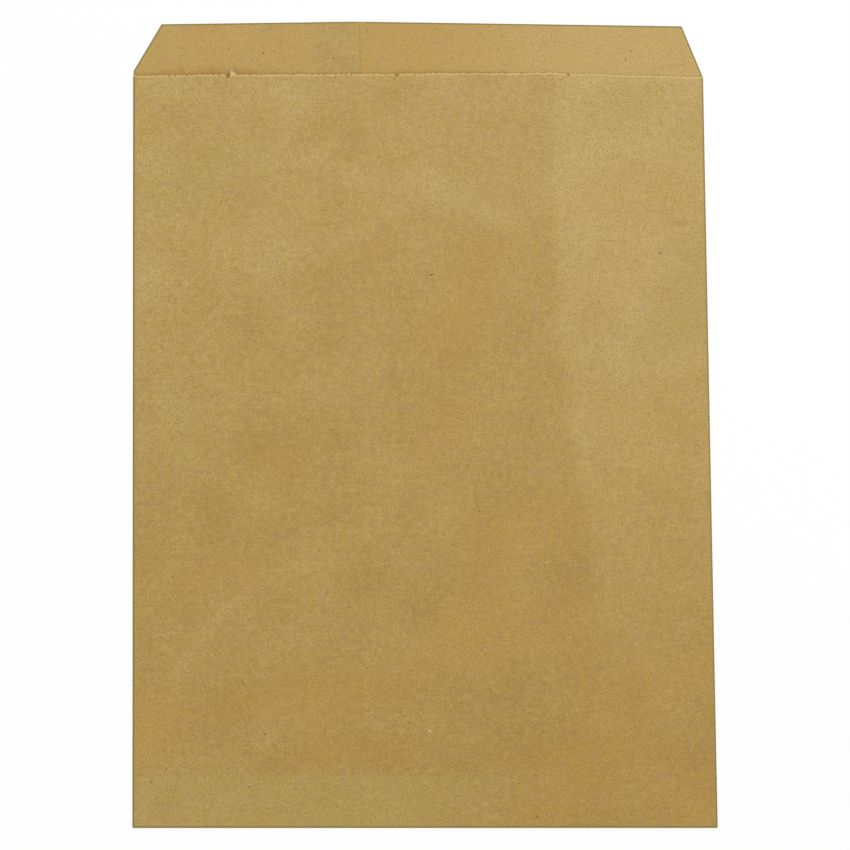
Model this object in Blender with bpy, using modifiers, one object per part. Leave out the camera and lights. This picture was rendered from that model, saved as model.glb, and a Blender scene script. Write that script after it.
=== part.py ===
"""Flat brown kraft paper bag with a saw-cut mouth and a lip, lying on its back.

The bag is one sheet of paper. A flat blank is scored along the lines that it bends at, its corners and
edges are cut, and it is then folded round into a tube. The two back parts lap and are glued along a back
seam, and an extension of the front panel folds round the bottom and is glued up over the back.

Frame: metres, +X to the right seen from the front, +Y from the bottom fold to the lip, +Z out of the front
panel. The back lies on Z = 0, and the origin is under the middle of the bag.
"""

import math

import bmesh
import bpy
from mathutils import Vector

# Sizes of the flat bag. Both lengths are measured at the left side
BAG_WIDTH = 0.254
FRONT_LENGTH = 0.3323
LIP_LENGTH = 0.0231
PAPER_THICKNESS = 0.0001

# The mouth and the end of the lip are cut a little askew: how far each has risen above the left side,
# at its peak and at the right side. The lip's peak is at the back seam
MOUTH_PEAK = 0.0040
MOUTH_PEAK_X = 0.058
LIP_PEAK = 0.0029
RIGHT_RISE = 0.0030

# Back seam: the free edge of the inner part, and how far the parts lap
SEAM_EDGE_X = -0.0266
SEAM_LAP = 0.0195

# Bottom flap, and the slanted cuts that the lip and the flap have at both sides. The lip's cuts start
# a little above the ends of the mouth
FLAP_LENGTH = 0.022
LEFT_CUT_WIDTH = 0.0123
RIGHT_CUT_WIDTH = 0.0090
LEFT_CUT_START = 0.0020
RIGHT_CUT_START = 0.0002

# Saw-cut edges, with a deeper nick where the knife left a bridge of paper
TOOTH_PITCH = 0.00254
TOOTH_DEPTH = 0.0004
TEETH_PER_COLUMN = 5
NICK_DEPTH = 0.0012
FIRST_NICK_X = -0.0853
NICK_SPACING = 0.0757
NICK_COUNT = 3

# Folds, laps and glue lines
FOLD_INNER_RADIUS = 0.00012
FOLD_STEPS = 4
LAP_RAMP = 0.002
EDGE_CLEARANCE = 0.0003
GLUE_GAP = 0.00003
GLUE_BITE = 0.00002
GLUE_WIDTH = 0.006
GLUE_END_MARGIN = 0.004

# Loft of the front panel over the back
BELLY_HEIGHT = 0.0066
MOUTH_HEIGHT = 0.005
BELLY_RISE_LENGTH = 0.12
BELLY_SHOULDER = 2.5

# Longest step between two score lines where the paper only curves gently
LONGEST_STEP = 0.024

KRAFT_COLOUR = (0.445, 0.296, 0.100, 1.0)
KRAFT_ROUGHNESS = 0.85

# Sizes that follow from the ones above
LAYER_STEP = PAPER_THICKNESS + GLUE_GAP
MID_PAPER = PAPER_THICKNESS / 2
SIDE_RADIUS = FOLD_INNER_RADIUS + MID_PAPER
HALF_FRONT = BAG_WIDTH / 2 - SIDE_RADIUS - MID_PAPER
BACK_START = HALF_FRONT + math.pi * SIDE_RADIUS
FOLDED_FRONT_Z = MID_PAPER + LAYER_STEP + 2 * SIDE_RADIUS
BOTTOM_RADIUS = (FOLDED_FRONT_Z - MID_PAPER) / 2
FLAP_START = -math.pi * BOTTOM_RADIUS
LIP_END = FRONT_LENGTH + LIP_LENGTH
LAP_X = SEAM_EDGE_X - SEAM_LAP
LAP_RAMP_X = LAP_X - EDGE_CLEARANCE - LAP_RAMP
FLAP_RAMP_Y = FLAP_LENGTH + TOOTH_DEPTH + EDGE_CLEARANCE
MIDDLE_Y = (LIP_END + max(LIP_PEAK, RIGHT_RISE) - BOTTOM_RADIUS - MID_PAPER) / 2
SAME_PLACE = 1e-6


def clear_scene():
    """Removes every object from the scene."""
    for thing in list(bpy.data.objects):
        bpy.data.objects.remove(thing, do_unlink=True)


def new_collection(name):
    """A collection linked to the scene."""
    collection = bpy.data.collections.new(name)
    bpy.context.scene.collection.children.link(collection)
    return collection


def kraft_material():
    """Plain unbleached kraft paper."""
    material = bpy.data.materials.new("kraft_paper")
    material.use_nodes = True
    shader = material.node_tree.nodes["Principled BSDF"]
    shader.inputs["Base Color"].default_value = KRAFT_COLOUR
    shader.inputs["Roughness"].default_value = KRAFT_ROUGHNESS
    shader.inputs["Metallic"].default_value = 0.0
    return material


def spread(start, end, longest):
    """Even places from start to end, no further apart than longest."""
    steps = max(1, math.ceil(abs(end - start) / longest - SAME_PLACE))
    return [start + (end - start) * i / steps for i in range(steps + 1)]


def clamp01(value):
    """The value held between 0 and 1."""
    return min(1.0, max(0.0, value))


def left_back_place(x):
    """Where the left back part's line at x lies on the flat blank."""
    return -BACK_START - (x + HALF_FRONT)


def right_back_place(x):
    """Where the right back part's line at x lies on the flat blank."""
    return BACK_START + (HALF_FRONT - x)


def column_places():
    """The score lines that run up the blank, from its left edge to its right edge."""
    column = TEETH_PER_COLUMN * TOOTH_PITCH
    columns = max(1, round(2 * HALF_FRONT / column))
    front = [HALF_FRONT * (2 * i / columns - 1) for i in range(columns + 1)]
    fold = [math.pi * SIDE_RADIUS * i / FOLD_STEPS for i in range(1, FOLD_STEPS + 1)]
    left_x = [SEAM_EDGE_X, LAP_RAMP_X + LAP_RAMP] + spread(LAP_RAMP_X, -HALF_FRONT, 2 * LONGEST_STEP)
    right_x = [LAP_X] + spread(SEAM_EDGE_X, HALF_FRONT, 2 * LONGEST_STEP)
    places = [left_back_place(x) for x in left_x] + [-HALF_FRONT - f for f in fold] + front
    return sorted(places + [HALF_FRONT + f for f in fold] + [right_back_place(x) for x in right_x])


def row_places():
    """The score lines that run across the blank, from the flap's free edge to the end of the lip."""
    fold = [FLAP_START * i / FOLD_STEPS for i in range(FOLD_STEPS + 1)]
    flap = [FLAP_START - FLAP_LENGTH]
    over_flap = spread(0.0, FLAP_RAMP_Y, LONGEST_STEP / 2)
    body = spread(FLAP_RAMP_Y + LAP_RAMP, FRONT_LENGTH, LONGEST_STEP)
    return sorted(flap + fold + over_flap[1:] + body + [LIP_END])


def score(mesh, faces, place, normal, cut_away=False):
    """Cuts the given faces along a straight line, and drops what lies past it if asked."""
    parts = dict.fromkeys(part for face in faces for part in (face, *face.edges, *face.verts))
    bmesh.ops.bisect_plane(
        mesh, geom=list(parts), dist=SAME_PLACE / 10, plane_co=place, plane_no=normal, clear_outer=cut_away
    )


def scored_blank(mesh):
    """A flat rectangle of paper, scored where it bends."""
    columns = column_places()
    rows = row_places()
    bmesh.ops.create_grid(mesh, x_segments=1, y_segments=1, size=0.5)
    width = columns[-1] - columns[0]
    length = rows[-1] - rows[0]
    middle = Vector(((columns[0] + columns[-1]) / 2, (rows[0] + rows[-1]) / 2, 0.0))
    bmesh.ops.scale(mesh, vec=(width, length, 1.0), verts=mesh.verts)
    bmesh.ops.translate(mesh, vec=middle, verts=mesh.verts)
    for place in columns[1:-1]:
        score(mesh, mesh.faces, (place, 0.0, 0.0), (1.0, 0.0, 0.0))
    for place in rows[1:-1]:
        score(mesh, mesh.faces, (0.0, place, 0.0), (0.0, 1.0, 0.0))


def is_waste(face):
    """Is this part of the rectangle cut away: beside the flap, or above the mouth?"""
    middle = face.calc_center_median()
    beside_flap = abs(middle.x) > HALF_FRONT and middle.y < 0
    above_mouth = abs(middle.x) < BACK_START and middle.y > FRONT_LENGTH
    return beside_flap or above_mouth


def slant_corner(mesh, faces, start, run, rise):
    """Cuts a corner off the faces, along the line from start that goes run across and rise along."""
    outward = Vector((abs(rise) * (1 if run < 0 else -1), abs(run) * (1 if rise > 0 else -1), 0.0))
    score(mesh, faces, start, outward.normalized(), cut_away=True)


def slant_corners(mesh):
    """Slants both sides of the lip, and both sides of the flap, which the same knife cut."""
    for side, width, start in ((-1, LEFT_CUT_WIDTH, LEFT_CUT_START), (1, RIGHT_CUT_WIDTH, RIGHT_CUT_START)):
        lip = [f for f in mesh.faces if f.calc_center_median().y > FRONT_LENGTH and f.calc_center_median().x * side > 0]
        slant_corner(mesh, lip, (side * BACK_START, FRONT_LENGTH + start, 0.0), side * width, LIP_LENGTH - start)
    for side, width in ((-1, LEFT_CUT_WIDTH), (1, RIGHT_CUT_WIDTH)):
        flap = [f for f in mesh.faces if f.calc_center_median().y < FLAP_START]
        slant_corner(mesh, flap, (side * HALF_FRONT, FLAP_START, 0.0), -side * width, -FLAP_LENGTH)


def is_nick(x):
    """Does the tooth valley at x lie where the knife left a bridge?"""
    places = [FIRST_NICK_X + NICK_SPACING * i for i in range(NICK_COUNT)]
    return any(abs(x - place) <= TOOTH_PITCH / 2 for place in places)


def saw_edge(mesh, line_y, nicked):
    """Cuts teeth into the free edge of the front panel or its flap that lies on line_y."""
    edges = [e for e in mesh.edges if e.is_boundary and all(abs(v.co.y - line_y) < SAME_PLACE for v in e.verts)]
    edges = [e for e in edges if all(abs(v.co.x) < HALF_FRONT + SAME_PLACE for v in e.verts)]
    for edge in edges:
        teeth = max(1, round(edge.calc_length() / TOOTH_PITCH))
        made = bmesh.ops.bisect_edges(mesh, edges=[edge], cuts=2 * teeth - 1)
        points = sorted((p for p in made["geom_split"] if isinstance(p, bmesh.types.BMVert)), key=lambda p: p.co.x)
        for valley in points[::2]:
            valley.co.y -= NICK_DEPTH if nicked and is_nick(valley.co.x) else TOOTH_DEPTH


def risen(x, peak_x, peak):
    """How far a cut across the top has risen at x: straight up to its peak, then straight to the right side."""
    if x < peak_x:
        return peak * (x + HALF_FRONT) / (peak_x + HALF_FRONT)
    return peak + (RIGHT_RISE - peak) * (x - peak_x) / (HALF_FRONT - peak_x)


def raise_top(mesh):
    """Moves the mouth and the whole lip up the blank, by as much as their cuts run askew."""
    for point in mesh.verts:
        if point.co.y > FRONT_LENGTH - NICK_DEPTH - SAME_PLACE:
            side = -1 if point.co.x < 0 else 1
            if abs(point.co.x) <= HALF_FRONT:
                point.co.y += risen(point.co.x, MOUTH_PEAK_X, MOUTH_PEAK)
            else:
                x = side * (HALF_FRONT - max(0.0, abs(point.co.x) - BACK_START))
                point.co.y += risen(x, SEAM_EDGE_X, LIP_PEAK)


def flap_lift(y):
    """How far the back is lifted where it lies on the bottom flap."""
    return LAYER_STEP * (1 - clamp01((y - FLAP_RAMP_Y) / LAP_RAMP))


def seam_lift(x):
    """How far the left back part is lifted where it laps the right one."""
    return LAYER_STEP * clamp01((x - LAP_RAMP_X) / LAP_RAMP)


def belly(x, y):
    """How far the front panel stands off the back, from nothing at its folds to the most in the middle."""
    if y < BELLY_RISE_LENGTH:
        height = BELLY_HEIGHT * math.sin(math.pi / 2 * y / BELLY_RISE_LENGTH)
    else:
        to_mouth = clamp01((y - BELLY_RISE_LENGTH) / (FRONT_LENGTH - BELLY_RISE_LENGTH))
        height = BELLY_HEIGHT + (MOUTH_HEIGHT - BELLY_HEIGHT) * (1 - math.cos(math.pi * to_mouth)) / 2
    return height * (1 - abs(x / HALF_FRONT) ** BELLY_SHOULDER)


def folded(u, v):
    """Where the blank's point, u across and v along, lies once the bag is folded."""
    side = -1 if u < 0 else 1
    if v < FLAP_START:
        return Vector((u, FLAP_START - v, MID_PAPER))
    if v < 0:
        turn = -v / BOTTOM_RADIUS
        return Vector((u, -BOTTOM_RADIUS * math.sin(turn), MID_PAPER + BOTTOM_RADIUS * (1 + math.cos(turn))))
    back_z = MID_PAPER + flap_lift(v)
    if abs(u) <= HALF_FRONT:
        return Vector((u, v, back_z + 2 * SIDE_RADIUS + belly(u, v)))
    if abs(u) < BACK_START:
        turn = (abs(u) - HALF_FRONT) / SIDE_RADIUS
        return Vector((side * (HALF_FRONT + SIDE_RADIUS * math.sin(turn)), v, back_z + SIDE_RADIUS * (1 + math.cos(turn))))
    x = side * (HALF_FRONT - (abs(u) - BACK_START))
    return Vector((x, v, back_z + (seam_lift(x) if side < 0 else 0.0)))


def add_object(name, mesh, collection):
    """An object made from a bmesh, which is freed."""
    data = bpy.data.meshes.new(name)
    mesh.to_mesh(data)
    mesh.free()
    made = bpy.data.objects.new(name, data)
    collection.objects.link(made)
    return made


def thicken(made, thickness):
    """Gives an open surface its thickness, half to each side."""
    wall = made.modifiers.new("Paper", "SOLIDIFY")
    wall.thickness = thickness
    wall.offset = 0.0
    wall.use_even_offset = True


def glue_line(name, columns, rows, height, collection):
    """A glue line between two layers: a strip at height(y), which bites a little into both."""
    mesh = bmesh.new()
    middle = Vector(((columns[0] + columns[1]) / 2, (rows[0] + rows[-1]) / 2, 0.0))
    bmesh.ops.create_grid(mesh, x_segments=1, y_segments=1, size=0.5)
    bmesh.ops.scale(mesh, vec=(columns[1] - columns[0], rows[-1] - rows[0], 1.0), verts=mesh.verts)
    bmesh.ops.translate(mesh, vec=middle, verts=mesh.verts)
    for row in rows[1:-1]:
        score(mesh, mesh.faces, (0.0, row, 0.0), (0.0, 1.0, 0.0))
    for point in mesh.verts:
        point.co = Vector((point.co.x, point.co.y - MIDDLE_Y, height(point.co.y)))
    strip = add_object(name, mesh, collection)
    thicken(strip, GLUE_GAP + 2 * GLUE_BITE)
    strip.hide_render = True
    strip.display_type = "WIRE"


def seam_glue(collection):
    """The glue line that runs up the back seam."""
    middle = SEAM_EDGE_X - SEAM_LAP / 2
    columns = (middle - GLUE_WIDTH / 2, middle + GLUE_WIDTH / 2)
    rows = (GLUE_END_MARGIN, FLAP_RAMP_Y, FLAP_RAMP_Y + LAP_RAMP, LIP_END - GLUE_END_MARGIN)
    glue_line("seam_glue", columns, rows, lambda y: MID_PAPER + flap_lift(y) + LAYER_STEP / 2, collection)


def flap_glue(collection):
    """The glue line that holds the bottom flap to the back."""
    inset = max(LEFT_CUT_WIDTH, RIGHT_CUT_WIDTH) + GLUE_END_MARGIN
    columns = (inset - HALF_FRONT, HALF_FRONT - inset)
    rows = (FLAP_LENGTH / 2 - GLUE_WIDTH / 2, FLAP_LENGTH / 2 + GLUE_WIDTH / 2)
    glue_line("flap_glue", columns, rows, lambda y: MID_PAPER + LAYER_STEP / 2, collection)


def build_bag():
    """The folded and glued bag, as one object."""
    parts = new_collection("flat_kraft_bag")
    glue = new_collection("glue_lines")
    mesh = bmesh.new()
    scored_blank(mesh)
    bmesh.ops.delete(mesh, geom=[f for f in mesh.faces if is_waste(f)], context="FACES")
    slant_corners(mesh)
    saw_edge(mesh, FRONT_LENGTH, nicked=True)
    saw_edge(mesh, FLAP_START - FLAP_LENGTH, nicked=False)
    raise_top(mesh)
    bmesh.ops.triangulate(mesh, faces=mesh.faces)
    for point in mesh.verts:
        point.co = folded(point.co.x, point.co.y) - Vector((0.0, MIDDLE_Y, 0.0))
    bag = add_object("paper_bag", mesh, parts)
    bag.data.materials.append(kraft_material())
    thicken(bag, PAPER_THICKNESS)
    seam_glue(glue)
    flap_glue(glue)
    join = bag.modifiers.new("Glue", "BOOLEAN")
    join.operation = "UNION"
    join.operand_type = "COLLECTION"
    join.collection = glue
    bag.data.shade_smooth()
    bag.data.set_sharp_from_angle(angle=math.radians(40))
    return bag


clear_scene()
build_bag()
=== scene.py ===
"""Looks of a flat brown kraft paper bag with a saw-cut mouth and a lip, lying on its back.

The whole bag is one sheet of paper, worked out on its flat blank and folded by formula: front panel, side
folds, lapped back, lip and bottom flap. Its thickness, saw teeth, creases and swellings are geometry, and so
are the larger flecks in it. Its pulp, fibres and smallest flecks come from the kraft finish.

Frame: metres, +X to the right seen from the front, +Y from the bottom fold to the lip, +Z out of the front
panel. The back lies on Z = 0. On the blank, u runs across the paper and v along it, from the bottom fold up.
"""

import logging
import math
from dataclasses import dataclass
from enum import Enum
from typing import Optional, Sequence, Union

import bpy
import numpy as np
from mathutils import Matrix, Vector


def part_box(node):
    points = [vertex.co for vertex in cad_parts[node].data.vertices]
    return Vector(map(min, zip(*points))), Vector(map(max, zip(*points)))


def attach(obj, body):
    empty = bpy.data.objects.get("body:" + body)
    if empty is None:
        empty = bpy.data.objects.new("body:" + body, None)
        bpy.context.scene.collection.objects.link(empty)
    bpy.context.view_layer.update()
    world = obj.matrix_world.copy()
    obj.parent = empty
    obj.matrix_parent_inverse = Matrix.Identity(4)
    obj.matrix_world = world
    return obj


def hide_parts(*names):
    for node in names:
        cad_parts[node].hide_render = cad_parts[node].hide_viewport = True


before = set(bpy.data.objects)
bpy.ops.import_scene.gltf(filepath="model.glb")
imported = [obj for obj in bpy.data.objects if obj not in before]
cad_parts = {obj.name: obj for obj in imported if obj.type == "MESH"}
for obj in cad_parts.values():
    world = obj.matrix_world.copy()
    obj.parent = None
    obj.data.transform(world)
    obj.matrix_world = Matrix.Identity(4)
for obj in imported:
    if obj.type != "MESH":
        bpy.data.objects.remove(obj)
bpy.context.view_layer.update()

BAG_NODE = "paper_bag"
BAG_BODY = "root"
MM = 0.001
FAR = 5 * MM

log = logging.getLogger("kraft_bag")

Number = Union[float, np.ndarray]
Span = tuple[float, float]
Colour = tuple[float, float, float]
Socket = bpy.types.NodeSocket
SocketOrNumber = Union[Socket, float]


def ease(value: Number) -> Number:
    """Smooth step: nothing at 0 and below, one at 1 and above, t squared times (3 - 2 t) between.

    Args:
        value: How far along the step.
    Returns:
        The eased share, from 0 to 1.
    """
    t = np.clip(value, 0.0, 1.0)
    return t * t * (3.0 - 2.0 * t)


def eased(value: Number, start: float, length: float) -> Number:
    """Eased share of the way from a start to a length past it."""
    return ease((value - start) / length)


class Side(Enum):
    """The two sides of the bag, seen from the front."""

    LEFT = -1
    RIGHT = 1


class FleckKind(Enum):
    """What a fleck in the pulp is, with the shade that its finish reads: 0 is darkest and 1 palest."""

    BARK = 0.0
    SHIVE = 0.35
    BLEACHED_FIBRE = 1.0


class ToothDraw(Enum):
    """What each saw tooth draws by chance, with the number that keeps one draw apart from another."""

    DEPTH = 1
    SET_BACK = 2
    CURL = 3
    VALLEY = 4
    TEAR = 5


@dataclass(frozen=True)
class BagSizes:
    """The real sizes of the bag, in metres. The width and the overall length come from the frame."""

    width: float
    overall_length: float
    lip_length: float = 0.0231
    mouth_peak: float = 0.0040
    mouth_peak_x: float = 0.058
    lip_peak: float = 0.0029
    right_rise: float = 0.0030
    paper: float = 0.0001
    fold_inner_radius: float = 0.00012
    glue_gap: float = 0.00003
    seam_edge_x: float = -0.0266
    seam_lap: float = 0.0195
    flap_length: float = 0.022
    left_cut: float = 0.0123
    right_cut: float = 0.0090
    left_cut_start: float = 0.0020
    right_cut_start: float = 0.0002
    lap_ramp: float = 0.002
    edge_clearance: float = 0.0007
    belly_height: float = 0.0066
    belly_rise: float = 0.12
    belly_shoulder: float = 2.5

    @property
    def mid_paper(self) -> float:
        """Height of the middle of a layer that lies on the ground."""
        return self.paper / 2

    @property
    def layer_step(self) -> float:
        """From the middle of one glued layer to the middle of the next."""
        return self.paper + self.glue_gap

    @property
    def side_radius(self) -> float:
        """Radius of a side fold at the middle of the paper."""
        return self.fold_inner_radius + self.mid_paper

    @property
    def bottom_radius(self) -> float:
        """Radius of the bottom fold at the middle of the paper."""
        return (self.layer_step + 2 * self.side_radius) / 2

    @property
    def half_front(self) -> float:
        """Half the width of the front panel, between the side folds."""
        return self.width / 2 - self.side_radius - self.mid_paper

    @property
    def back_start(self) -> float:
        """Where the back begins on the blank, past a side fold."""
        return self.half_front + math.pi * self.side_radius

    @property
    def flap_start(self) -> float:
        """Where the flap begins on the blank, past the bottom fold."""
        return -math.pi * self.bottom_radius

    @property
    def lap_x(self) -> float:
        """Where the hidden edge of the back seam lies."""
        return self.seam_edge_x - self.seam_lap

    @property
    def front_length(self) -> float:
        """From the bottom fold to the mouth, at the left side."""
        past_bottom = self.bottom_radius + self.mid_paper
        return self.overall_length - past_bottom - max(self.lip_peak, self.right_rise) - self.lip_length

    @property
    def lip_end(self) -> float:
        """From the bottom fold to the end of the lip, at the left side."""
        return self.front_length + self.lip_length

    @property
    def middle_y(self) -> float:
        """Half way up the bag, which is the frame's origin."""
        return self.overall_length / 2 - self.bottom_radius - self.mid_paper

    def risen(self, x: Number, peak_x: float, peak: float) -> Number:
        """How far a cut across the top has risen: straight up to its peak, then straight to the right side.

        Args:
            x: Across the bag.
            peak_x: Where its peak is.
            peak: How high its peak is above the left side.
        Returns:
            The rise in metres.
        """
        return np.interp(x, (-self.half_front, peak_x, self.half_front), (0.0, peak, self.right_rise))

    def mouth_rise(self, x: Number) -> Number:
        """How far the mouth has risen at x."""
        return self.risen(x, self.mouth_peak_x, self.mouth_peak)

    def lip_rise(self, x: Number) -> Number:
        """How far the end of the lip has risen at x."""
        return self.risen(x, self.seam_edge_x, self.lip_peak)

    def cut(self, side: Side) -> tuple[float, float]:
        """Width of the lip's slanted cut at one side, and how far above the mouth's end it starts."""
        if side is Side.LEFT:
            return self.left_cut, self.left_cut_start
        return self.right_cut, self.right_cut_start


@dataclass(frozen=True)
class Swell:
    """A gentle swelling or hollow in the front panel, highest in its middle, with an elliptical outline."""

    x: float
    y: float
    half_length: float
    half_width: float
    turn: float
    height: float

    def share(self, x: np.ndarray, y: np.ndarray) -> np.ndarray:
        """How much of it there is at each place: e to the minus squared distance, in its own half sizes.

        Args:
            x: Across the bag.
            y: Up from the bottom fold.
        Returns:
            The share, from 0 to 1.
        """
        along = (x - self.x) * math.cos(self.turn) + (y - self.y) * math.sin(self.turn)
        across = (y - self.y) * math.cos(self.turn) - (x - self.x) * math.sin(self.turn)
        return np.exp(-((along / self.half_length) ** 2) - (across / self.half_width) ** 2)


@dataclass(frozen=True)
class Stain(Swell):
    """A patch of painted sheen or shade on the front, lighter or darker than its surroundings by its tone."""

    tone: float = 0.0


@dataclass(frozen=True)
class Crease:
    """A soft crease along an arc, from one end through a middle point to the other end."""

    start: tuple[float, float]
    middle: tuple[float, float]
    end: tuple[float, float]
    half_width: float
    height: float

    def distance(self, x: np.ndarray, y: np.ndarray) -> np.ndarray:
        """Distance of each place from the arc, taken as a curve of 24 points through its three.

        Args:
            x: Across the bag.
            y: Up from the bottom fold.
        Returns:
            The distance, in metres.
        """
        t = np.linspace(0.0, 1.0, 24)
        ends = np.outer(2 * (t - 0.5) * (t - 1), self.start) + np.outer(2 * t * (t - 0.5), self.end)
        points = ends + np.outer(4 * t * (1 - t), self.middle)
        nearest = np.full(np.shape(x), np.inf)
        for point in points:
            nearest = np.minimum(nearest, np.hypot(x - point[0], y - point[1]))
        return nearest

    def share(self, x: np.ndarray, y: np.ndarray) -> np.ndarray:
        """How much of the crease there is at each place: e to the minus squared distance in half widths."""
        return np.exp(-((self.distance(x, y) / self.half_width) ** 2))


def swell(x: float, y: float, half_length: float, half_width: float, turn: float, height: float) -> Swell:
    """A swelling given in millimetres and degrees, with its height in tenths of a millimetre.

    Args:
        x: Across the bag.
        y: Up from the bottom fold.
        half_length: Half its length.
        half_width: Half its width.
        turn: How far its length is turned from X.
        height: How high it stands, or how deep it sinks if negative.
    Returns:
        The swelling in metres and radians.
    """
    return Swell(x * MM, y * MM, half_length * MM, half_width * MM, math.radians(turn), height * MM / 10)


def stain(x: float, y: float, half_length: float, half_width: float, turn: float, tone: float) -> Stain:
    """A patch of painted sheen or shade, given in millimetres and degrees, with its tone."""
    return Stain(x * MM, y * MM, half_length * MM, half_width * MM, math.radians(turn), 0.0, tone)


SWELLS = (
    swell(4, 279, 46, 9, -6, 3.0),
    swell(-71, 252, 24, 15, 10, 2.6),
    swell(-68, 196, 40, 9, 8, 2.4),
    swell(12, 240, 36, 24, 60, -3.4),
    swell(-58, 222, 34, 7, 5, -2.2),
    swell(-10, 190, 34, 10, -10, 1.6),
    swell(-62, 165, 26, 8, 8, -2.6),
    swell(-70, 146, 26, 6, 12, 1.6),
    swell(-68, 129, 26, 7, 10, -2.4),
    swell(-71, 60, 24, 10, 18, -2.6),
    swell(-22, 59, 20, 7, 0, -2.0),
    swell(-35, 32, 24, 7, 6, -2.4),
    swell(0, 47, 30, 7, 8, 1.8),
    swell(51, 116, 16, 30, 20, -2.6),
    swell(58, 30, 26, 8, 8, -2.0),
    swell(104, 33, 14, 8, -8, -1.6),
    swell(24, 150, 26, 12, 40, 1.4),
)

# Patches of painted sheen and shade on the front, most of them over its swellings: lighter where one stands
# up, darker over a hollow.
STAINS = (
    stain(-6, 284, 30, 7, -4, 0.45),
    stain(26, 272, 12, 6, -38, 0.25),
    stain(-68, 252, 19, 14, 8, 0.45),
    stain(-66, 192, 34, 11, 6, 0.18),
    stain(30, 256, 22, 9, -22, -0.45),
    stain(-23, 251, 13, 6, 25, -0.35),
    stain(24, 212, 40, 42, 0, -0.24),
    stain(-60, 166, 25, 7, 8, -0.38),
    stain(-68, 130, 21, 8, 10, -0.38),
    stain(-18, 106, 27, 9, -5, -0.34),
    stain(-71, 56, 23, 8, 16, -0.80),
    stain(-22, 59, 21, 7, 0, -0.80),
    stain(-35, 31, 23, 6, 5, -0.76),
    stain(56, 30, 26, 6, 4, -0.64),
    stain(105, 33, 13, 6, -6, -0.40),
    stain(67, 120, 30, 9, 98, -0.36),
    stain(62, 88, 26, 12, 96, -0.28),
    stain(-53, 113, 18, 4, 4, 0.30),
    stain(8, 42, 22, 7, 6, 0.16),
    stain(-80, 84, 16, 8, 40, 0.10),
    stain(-20, 78, 24, 5, 0, 0.14),
    stain(-88, 270, 17, 52, 0, 0.20),
    stain(0, 220, 32, 20, 0, -0.14),
    stain(-30, 308, 20, 8, 0, -0.18),
    stain(-52, 324, 10, 7, 0, 0.46),
    stain(-106, 326, 22, 7, 0, 0.26),
    stain(-92, 112, 14, 10, 20, -0.36),
    stain(-72, 110, 14, 9, 0, -0.20),
    stain(-112, 128, 9, 16, 0, -0.24),
    stain(-4, 92, 22, 7, 0, -0.22),
    stain(44, 154, 22, 18, 0, -0.12),
)

CREASES = (
    Crease((-0.108, 0.060), (-0.088, 0.093), (-0.052, 0.112), 0.0028, 0.00022),
    Crease((-0.0445, 0.067), (-0.0433, 0.059), (-0.0455, 0.050), 0.0016, 0.00016),
    Crease((-0.052, 0.292), (-0.042, 0.299), (-0.035, 0.310), 0.0030, 0.00018),
    Crease((-0.020, 0.268), (0.012, 0.2745), (0.040, 0.265), 0.0032, 0.00016),
)


@dataclass(frozen=True)
class Nick:
    """A deeper notch in the mouth, where the knife left a bridge of paper that tore."""

    x: float
    depth: float
    half_width: float


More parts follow.
